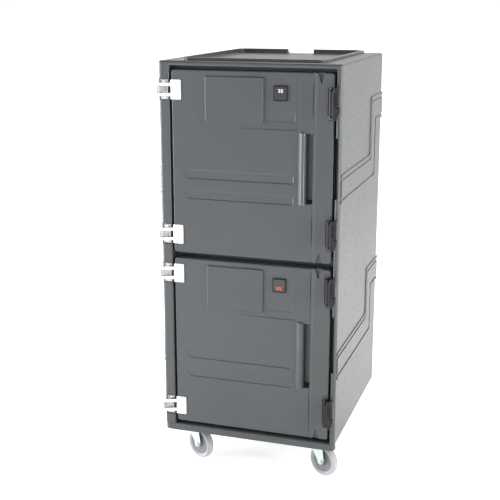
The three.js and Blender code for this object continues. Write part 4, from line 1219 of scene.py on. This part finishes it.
def fork_legs(wheel_y, top, reach):
    """Two tapered legs with round ends and the bridge over the wheel; reach is the legs' reach at their top."""
    wheel_z, inside = CASTER["wheel"], CASTER["inside"]
    outside = inside + CASTER["leg"]
    foot = [(wheel_y + 0.013 * math.sin(a), wheel_z - 0.013 * math.cos(a)) for a in
            [math.radians(deg) for deg in range(-90, 91, 18)]]
    outline = [*foot, (wheel_y + 0.018, wheel_z + 0.008), (reach[1], top - CASTER["shoulder"]),
               (reach[1], top),
               (reach[0], top), (reach[0], top - CASTER["shoulder"]), (wheel_y - 0.018, wheel_z + 0.008)]
    legs = []
    for side in (-1, 1):
        leg = prism(outline, "x", *sorted((side * inside, side * outside)))
        round_edges(leg, on_plane("x", side * outside), 0.0012, 2)
        legs.append(leg)
    bridge = rounded_block((-outside, reach[0], top - 0.005), (outside, reach[1], top), "y", 0.004, 4)
    return fuse(bridge, *legs)


def axle_piece(wheel_y):
    """The axle bolt with a washer and a hexagon at each end."""
    outside = CASTER["inside"] + CASTER["leg"]
    z = CASTER["wheel"]
    bolt = rod((0, wheel_y, z), CASTER["axle"], 2 * outside + 0.012, "x", 24)
    for side in (-1, 1):
        washer = rod((side * (outside + 0.0008), wheel_y, z), 0.0100, 0.0016, "x", 32)
        nut = rod((side * (outside + 0.0038), wheel_y, z), 0.0088, 0.0046, "x", 6)
        fuse(bolt, washer, nut)
    return soften(bolt, 0.0005, 2)


def placed(piece, place):
    """Moves a piece's mesh from the caster's own frame to its place on the cart."""
    piece.data.transform(place)
    return piece


def caster_plate_piece(low, high):
    """A mounting plate with round corners and four bolt heads."""
    plate = rounded_block((low.x, low.y, high.z - 0.004), high, "z", 0.008, 5)
    round_edges(plate, on_plane("z", high.z - 0.004), 0.0008, 2)
    centre = (low + high) / 2
    bolts = []
    for sx in (-1, 1):
        for sy in (-1, 1):
            place = (centre.x + sx * BOLT["x"], centre.y + sy * BOLT["y"], high.z - 0.0062)
            bolts.append(rod(place, BOLT["radius"], BOLT["height"], "z", 6))
    return fuse(plate, *bolts)


def model_front_caster(side):
    """A swivel caster: plate with a ball race, tapered fork, wheel, axle bolt and brake pedal."""
    stem = f"front_{side}_"
    swivel = JOINTS[stem + "caster_swivel"]["pos_m"]
    axis = JOINTS[stem + "wheel_roll"]["axis"]
    place = Matrix.Translation((swivel[0], swivel[1], 0)) @ Matrix.Rotation(math.atan2(axis[1],
                                                                                       axis[0]), 4, "Z")
    body = BODY_OF[stem + "caster_fork"]
    plate_low, plate_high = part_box(stem + "caster_plate")
    plate = caster_plate_piece(plate_low, plate_high)
    race_z = (plate_low.z + plate_high.z - 0.004) / 2
    race = rod((swivel[0], swivel[1], race_z), 0.033, plate_high.z - 0.004 - plate_low.z + 0.001, "z",
               48, tip=0.030)
    fuse(plate, race)
    soften(plate, 0.0006, 2, FOLD_ANGLE)
    stand_in(plate, stem + "caster_plate", FINISHES["zinc"], "zinc_steel")
    top = plate_low.z - 0.004
    wheel_y = -CASTER["trail"]
    fork = fork_legs(wheel_y, top, CASTER["front_top"])
    crown = rod((0, 0, top + 0.0010), 0.031, 0.0050, "z", 48, tip=0.029)
    fuse(fork, crown)
    soften(fork, 0.0006, 2, FOLD_ANGLE)
    stand_in(placed(fork, place), stem + "caster_fork", FINISHES["zinc"], "zinc_steel")
    seal = spun([(0.0285, -0.0008), (0.0300, -0.0008), (0.0300, 0.0008), (0.0285, 0.0008)],
                (0, 0, top + 0.0030), (0, 0, 1), 48)
    finished(placed(soften(seal), place), stem + "ball_race", FINISHES["bearing"], "black_nylon", body)
    finished(placed(axle_piece(wheel_y), place), stem + "axle_bolt", FINISHES["zinc"], "zinc_steel",
             body)
    pin = rod((0, PEDAL["y"], PEDAL["z"]), 0.003, 0.048, "x", 20)
    finished(placed(soften(pin, 0.0005, 2), place), stem + "pedal_pin", FINISHES["zinc"], "zinc_steel",
             body)
    centre = (0, wheel_y, CASTER["wheel"])
    tread = placed(wheel_piece(centre, (1, 0, 0)), place)
    stand_in(tread, stem + "wheel", FINISHES["tread"], "wheel_tread")
    hub = placed(hub_piece(centre, (1, 0, 0)), place)
    finished(hub, stem + "hub", FINISHES["hub"], "wheel_tread", BODY_OF[stem + "wheel"])
    model_pedal(stem, place)


def model_pedal(stem, place):
    """The brake pedal: a bent steel arm and a black ribbed toe cap."""
    y, z = PEDAL["y"], PEDAL["z"]
    end = y - PEDAL["reach"]
    arm_outline = [(y, z - 0.004), (end + 0.038, z - 0.0068), (end + 0.012, z - 0.0090),
                   (end + 0.012, z - 0.0056),
                   (end + 0.024, z - 0.0034), (end + 0.040, z - 0.0031), (y, z + 0.004)]
    arm = prism(arm_outline, "x", -PEDAL["arm"] / 2, PEDAL["arm"] / 2)
    knuckle = rod((0, y, z), 0.006, PEDAL["arm"], "x", 24)
    fuse(arm, knuckle)
    cut(arm, rod((0, y, z), 0.0034, 0.06, "x", 20))
    soften(arm, 0.0008, 2, FOLD_ANGLE)
    stand_in(placed(arm, place), stem + "brake_pedal", FINISHES["zinc"], "zinc_steel")
    cap_outline = [(end + 0.026, z - 0.0073), (end + 0.012, z - 0.0102), (end, z - 0.0155),
                   (end - 0.0002, z - 0.011),
                   (end + 0.004, z - 0.0065), (end + 0.014, z - 0.0033), (end + 0.026, z - 0.0027)]
    cap = prism(cap_outline, "x", -PEDAL["toe"] / 2, PEDAL["toe"] / 2)
    round_edges(cap, on_plane("x", PEDAL["toe"] / 2), 0.002, 3)
    soften(cap, 0.0012, 3, math.radians(30))
    finished(placed(cap, place), stem + "pedal_cap", FINISHES["nylon"], "black_nylon",
             BODY_OF[stem + "brake_pedal"])


def model_rear_caster(side):
    """A fixed caster: plate and fork in one, wheel and axle bolt."""
    stem = f"rear_{side}_"
    axle = JOINTS[stem + "wheel_roll"]["pos_m"]
    place = Matrix.Translation((axle[0], axle[1], 0))
    low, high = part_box(stem + "caster_fork")
    fork = fork_legs(0, high.z - 0.001, CASTER["rear_top"])
    placed(fork, place)
    fuse(fork, caster_plate_piece(low, high))
    soften(fork, 0.0006, 2, FOLD_ANGLE)
    stand_in(fork, stem + "caster_fork", FINISHES["zinc"], "zinc_steel")
    finished(placed(axle_piece(0), place), stem + "axle_bolt", FINISHES["zinc"], "zinc_steel", "cabinet")
    centre = (axle[0], axle[1], CASTER["wheel"])
    stand_in(wheel_piece(centre, (1, 0, 0)), stem + "wheel", FINISHES["tread"], "wheel_tread")
    finished(hub_piece(centre, (1, 0, 0)), stem + "hub", FINISHES["hub"], "wheel_tread",
             BODY_OF[stem + "wheel"])


# ---------------------------------------------------------------- back and inside
def model_handle(side):
    """A rear push handle: an upright bar on two sloped feet."""
    node = side + "_rear_handle"
    low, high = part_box(node)
    bar, end, slope = 0.016, 0.050, 0.020
    outline = [(low.y, low.z), (high.y, low.z), (high.y, high.z - 0.006), (low.y, high.z)]
    handle = prism(outline, "x", low.x, high.x)
    round_edges(handle, lambda a, b: along_axis("x")(a, b) and a.y > high.y - 0.001, 0.009, 5)
    gap = prism([(low.y - 0.001, low.z + end), (high.y - bar, low.z + end + slope),
                 (high.y - bar, high.z - end - slope - 0.006), (low.y - 0.001, high.z - end - 0.006)],
                "x", low.x - 0.01, high.x + 0.01)
    round_edges(gap, lambda a, b: along_axis("x")(a, b) and a.y > low.y, 0.008, 4)
    cut(handle, gap)
    soften(handle, 0.003, 4, FOLD_ANGLE)
    return stand_in(handle, node, FINISHES["moulding"], "charcoal_polyethylene")


REMADE = {
    "liner": ("liner", "liner_polyethylene", 0.0012),
    "left_rack": ("rack", "rack_plastic", 0.0004),
    "right_rack": ("rack", "rack_plastic", 0.0004),
    "door_gasket": ("gasket", "gasket_rubber", 0.0008),
}
MODULE_NODES = {
    "cold_module_housing": ("module", "module_plastic", 0.0010),
    "cold_module_fan": ("nylon", "black_nylon", 0.0004),
    "cold_module_heat_sink": ("aluminium", "aluminium", 0.0003),
    "hot_module_housing": ("module", "module_plastic", 0.0010),
    "hot_module_fan": ("nylon", "black_nylon", 0.0004),
    "hot_module_heater": ("heater", "stainless_steel", 0.0010),
    "power_inlet": ("nylon", "black_nylon", 0.0005),
}


def model_remade(node, finish, slot, radius):
    """A CAD node whose shape is right, with rounded edges and its finish."""
    piece = soften(remade(node), radius, 2)
    return stand_in(piece, node, FINISHES[finish], slot)


def paint_foam():
    """The hidden foam cores keep their CAD shape and get the foam finish."""
    for node in ("cabinet_foam", "upper_door_foam", "lower_door_foam"):
        core = frame["nodes"][node]
        core.data.materials.clear()
        core.data.materials.append(FINISHES["foam"])


# ---------------------------------------------------------------- stage
SOFTBOXES = (
    {"name": "left_front", "place": (-3.6, -2.0, 1.5), "size": (1.5, 3.0), "power": 230,
     "tint": (0.93, 0.96, 1.0)},
    {"name": "left_edge", "place": (-4.0, 1.3, 0.9), "size": (0.5, 2.8), "power": 170,
     "tint": (0.96, 0.98, 1.0)},
    {"name": "right_edge", "place": (4.2, -1.4, 0.9), "size": (0.45, 2.8), "power": 150,
     "tint": (1.0, 1.0, 0.98)},
    {"name": "right_side", "place": (4.4, 0.9, 2.2), "size": (2.0, 2.4), "power": 90,
     "tint": (1.0, 0.99, 0.96)},
    {"name": "overhead", "place": (0.2, 0.9, 4.2), "size": (2.6, 2.6), "power": 85,
     "tint": (1.0, 0.98, 0.84)},
    {"name": "front_fill", "place": (1.6, -5.2, 3.2), "size": (3.0, 2.0), "power": 30,
     "tint": (0.94, 0.97, 1.0)},
)


FLOOR_NEAR, FLOOR_FAR = 1.2, 5.0  # the pale floor lights itself more and more between these distances


def pale_surround(settings):
    """Pale surroundings: white near the horizon, and higher up brighter behind the carrier than in front."""
    world = bpy.data.worlds.new("pale_surround")
    world.use_nodes = True
    nodes, links = world.node_tree.nodes, world.node_tree.links
    direction = nodes.new("ShaderNodeSeparateXYZ")
    ramp = nodes.new("ShaderNodeMapRange")
    links.new(nodes.new("ShaderNodeTexCoord").outputs["Generated"], direction.inputs["Vector"])
    links.new(direction.outputs["Y"], ramp.inputs["Value"])
    for name, value in (("From Min", -0.2), ("From Max", 0.85), ("To Min", settings.surround * 0.1),
                        ("To Max", settings.surround)):
        ramp.inputs[name].default_value = value
    height = nodes.new("ShaderNodeMath")
    height.operation = "ABSOLUTE"
    links.new(direction.outputs["Z"], height.inputs[0])
    haze = nodes.new("ShaderNodeMapRange")
    links.new(height.outputs["Value"], haze.inputs["Value"])
    for name, value in (("From Min", 0.10), ("From Max", 0.22), ("To Min", settings.surround),
                        ("To Max", 0)):
        haze.inputs[name].default_value = value
    brighter = nodes.new("ShaderNodeMath")
    brighter.operation = "MAXIMUM"
    links.new(ramp.outputs["Result"], brighter.inputs[0])
    links.new(haze.outputs["Result"], brighter.inputs[1])
    background = nodes["Background"]
    background.inputs["Color"].default_value = (1, 1, 1, 1)
    links.new(brighter.outputs["Value"], background.inputs["Strength"])
    bpy.context.scene.world = world


def model_stage():
    """A pale floor, soft lights, pale surroundings and the camera."""
    settings = bpy.context.scene.cart_stage
    bpy.ops.object.select_all(action="DESELECT")
    bpy.ops.mesh.primitive_plane_add(size=400, location=(0, 0, 0))
    floor = settle()
    floor.name = "floor"
    paper = Finish("pale_floor", (0.82, 0.82, 0.82), 0.8, specular=0.1)
    paper.set(**{"Base Color": paper.tinted(paper.noise(0.8, 2.0), 0.99, 1.0)})
    far = paper.distance(FLOOR_NEAR, FLOOR_FAR)
    paper.set(**{"Emission Color": paper.mixed(far, [settings.floor_glow] * 3, [1.0] * 3),
                 "Emission Strength": 1.0})
    floor.data.materials.append(paper.material)
    pale_surround(settings)

    aim = (CAD_BOX[0] + CAD_BOX[1]) / 2
    for box in SOFTBOXES:
        place = Vector(box["place"])
        turn = (aim - place).to_track_quat("-Z", "Y").to_euler()
        bpy.ops.object.light_add(type="AREA", radius=1, location=place, rotation=turn)
        lamp = bpy.context.object
        lamp.name = box["name"]
        lamp.data.shape = "RECTANGLE"
        lamp.data.size, lamp.data.size_y = box["size"]
        lamp.data.energy = box["power"] * settings.brightness
        lamp.data.color = box["tint"]

    bpy.ops.object.camera_add(location=settings.place,
                              rotation=(math.pi / 2 - settings.elevation, 0, settings.azimuth))
    camera = bpy.context.object
    camera.data.lens = settings.lens
    camera.data.sensor_width = 36.0
    bpy.context.scene.camera = camera
    bpy.context.scene.view_settings.view_transform = "Standard"


# ---------------------------------------------------------------- operators
class BuildStep(bpy.types.Operator):
    """One step of building the carrier."""

    bl_idname = "cart.build_step"
    bl_label = "Build Step"
    bl_options = {"REGISTER", "UNDO"}

    def execute(self, context):
        """Runs the step's own work."""
        self.build()
        return {"FINISHED"}

    def build(self):
        """The step's own work."""
        raise NotImplementedError(self.bl_idname)


class CART_OT_finishes(BuildStep):
    """Make the plastic, steel and rubber finishes"""

    bl_idname = "cart.finishes"
    bl_label = "Finishes"

    def build(self):
        make_finishes()


class CART_OT_cabinet(BuildStep):
    """Model the cabinet moulding"""

    bl_idname = "cart.cabinet"
    bl_label = "Cabinet"

    def build(self):
        model_cabinet()


class CART_OT_doors(BuildStep):
    """Model both doors and their displays"""

    bl_idname = "cart.doors"
    bl_label = "Doors and Displays"

    def build(self):
        for which in DOORS:
            model_door(which)
            model_display(which)


class CART_OT_hinges(BuildStep):
    """Model the four hinges"""

    bl_idname = "cart.hinges"
    bl_label = "Hinges"

    def build(self):
        for which in DOORS:
            for level in LEVELS:
                model_hinge(which, level)


class CART_OT_latches(BuildStep):
    """Model the four latches"""

    bl_idname = "cart.latches"
    bl_label = "Latches"

    def build(self):
        for which in DOORS:
            for level in LEVELS:
                model_latch(which, level)


class CART_OT_casters(BuildStep):
    """Model the four casters"""

    bl_idname = "cart.casters"
    bl_label = "Casters"

    def build(self):
        for side in ("left", "right"):
            model_front_caster(side)
            model_rear_caster(side)


class CART_OT_back(BuildStep):
    """Model the rear handles, the two modules and the power inlet"""

    bl_idname = "cart.back"
    bl_label = "Handles and Modules"

    def build(self):
        for side in ("left", "right"):
            model_handle(side)
        for node, (finish, slot, radius) in MODULE_NODES.items():
            model_remade(node, finish, slot, radius)


class CART_OT_inside(BuildStep):
    """Model the liners, racks and gaskets, and paint the foam"""

    bl_idname = "cart.inside"
    bl_label = "Compartments"

    def build(self):
        for which in DOORS:
            for part, (finish, slot, radius) in REMADE.items():
                model_remade(f"{which}_{part}", finish, slot, radius)
        paint_foam()


class CART_OT_stage(BuildStep):
    """Set up the floor, lights and camera"""

    bl_idname = "cart.stage"
    bl_label = "Stage"

    def build(self):
        model_stage()


STEPS = (CART_OT_finishes, CART_OT_cabinet, CART_OT_doors, CART_OT_hinges, CART_OT_latches,
         CART_OT_casters, CART_OT_back, CART_OT_inside, CART_OT_stage)


class VIEW3D_PT_pan_carrier(bpy.types.Panel):
    """Lists the steps and the sizes, colours and stage settings."""

    bl_label = "Pan Carrier"
    bl_space_type = "VIEW_3D"
    bl_region_type = "UI"
    bl_category = "Pan Carrier"

    def draw(self, context):
        """Draws the panel."""
        for step in STEPS:
            self.layout.operator(step.bl_idname)
        for settings in (context.scene.cart_sizes, context.scene.cart_colours, context.scene.cart_stage):
            box = self.layout.box()
            for name in settings.__annotations__:
                box.prop(settings, name)


CLASSES = (CartSizes, CartColours, StageSettings, *STEPS, VIEW3D_PT_pan_carrier)


def register():
    """Registers the classes and the scene's settings."""
    for cls in CLASSES:
        bpy.utils.register_class(cls)
    bpy.types.Scene.cart_sizes = PointerProperty(type=CartSizes)
    bpy.types.Scene.cart_colours = PointerProperty(type=CartColours)
    bpy.types.Scene.cart_stage = PointerProperty(type=StageSettings)


def unregister():
    """Removes the scene's settings and the classes."""
    del bpy.types.Scene.cart_stage
    del bpy.types.Scene.cart_colours
    del bpy.types.Scene.cart_sizes
    for cls in reversed(CLASSES):
        bpy.utils.unregister_class(cls)


def main():
    """Builds the whole carrier in order."""
    register()
    for step in STEPS:
        group, name = step.bl_idname.split(".")
        getattr(getattr(bpy.ops, group), name)()


if __name__ == "__main__":
    main()
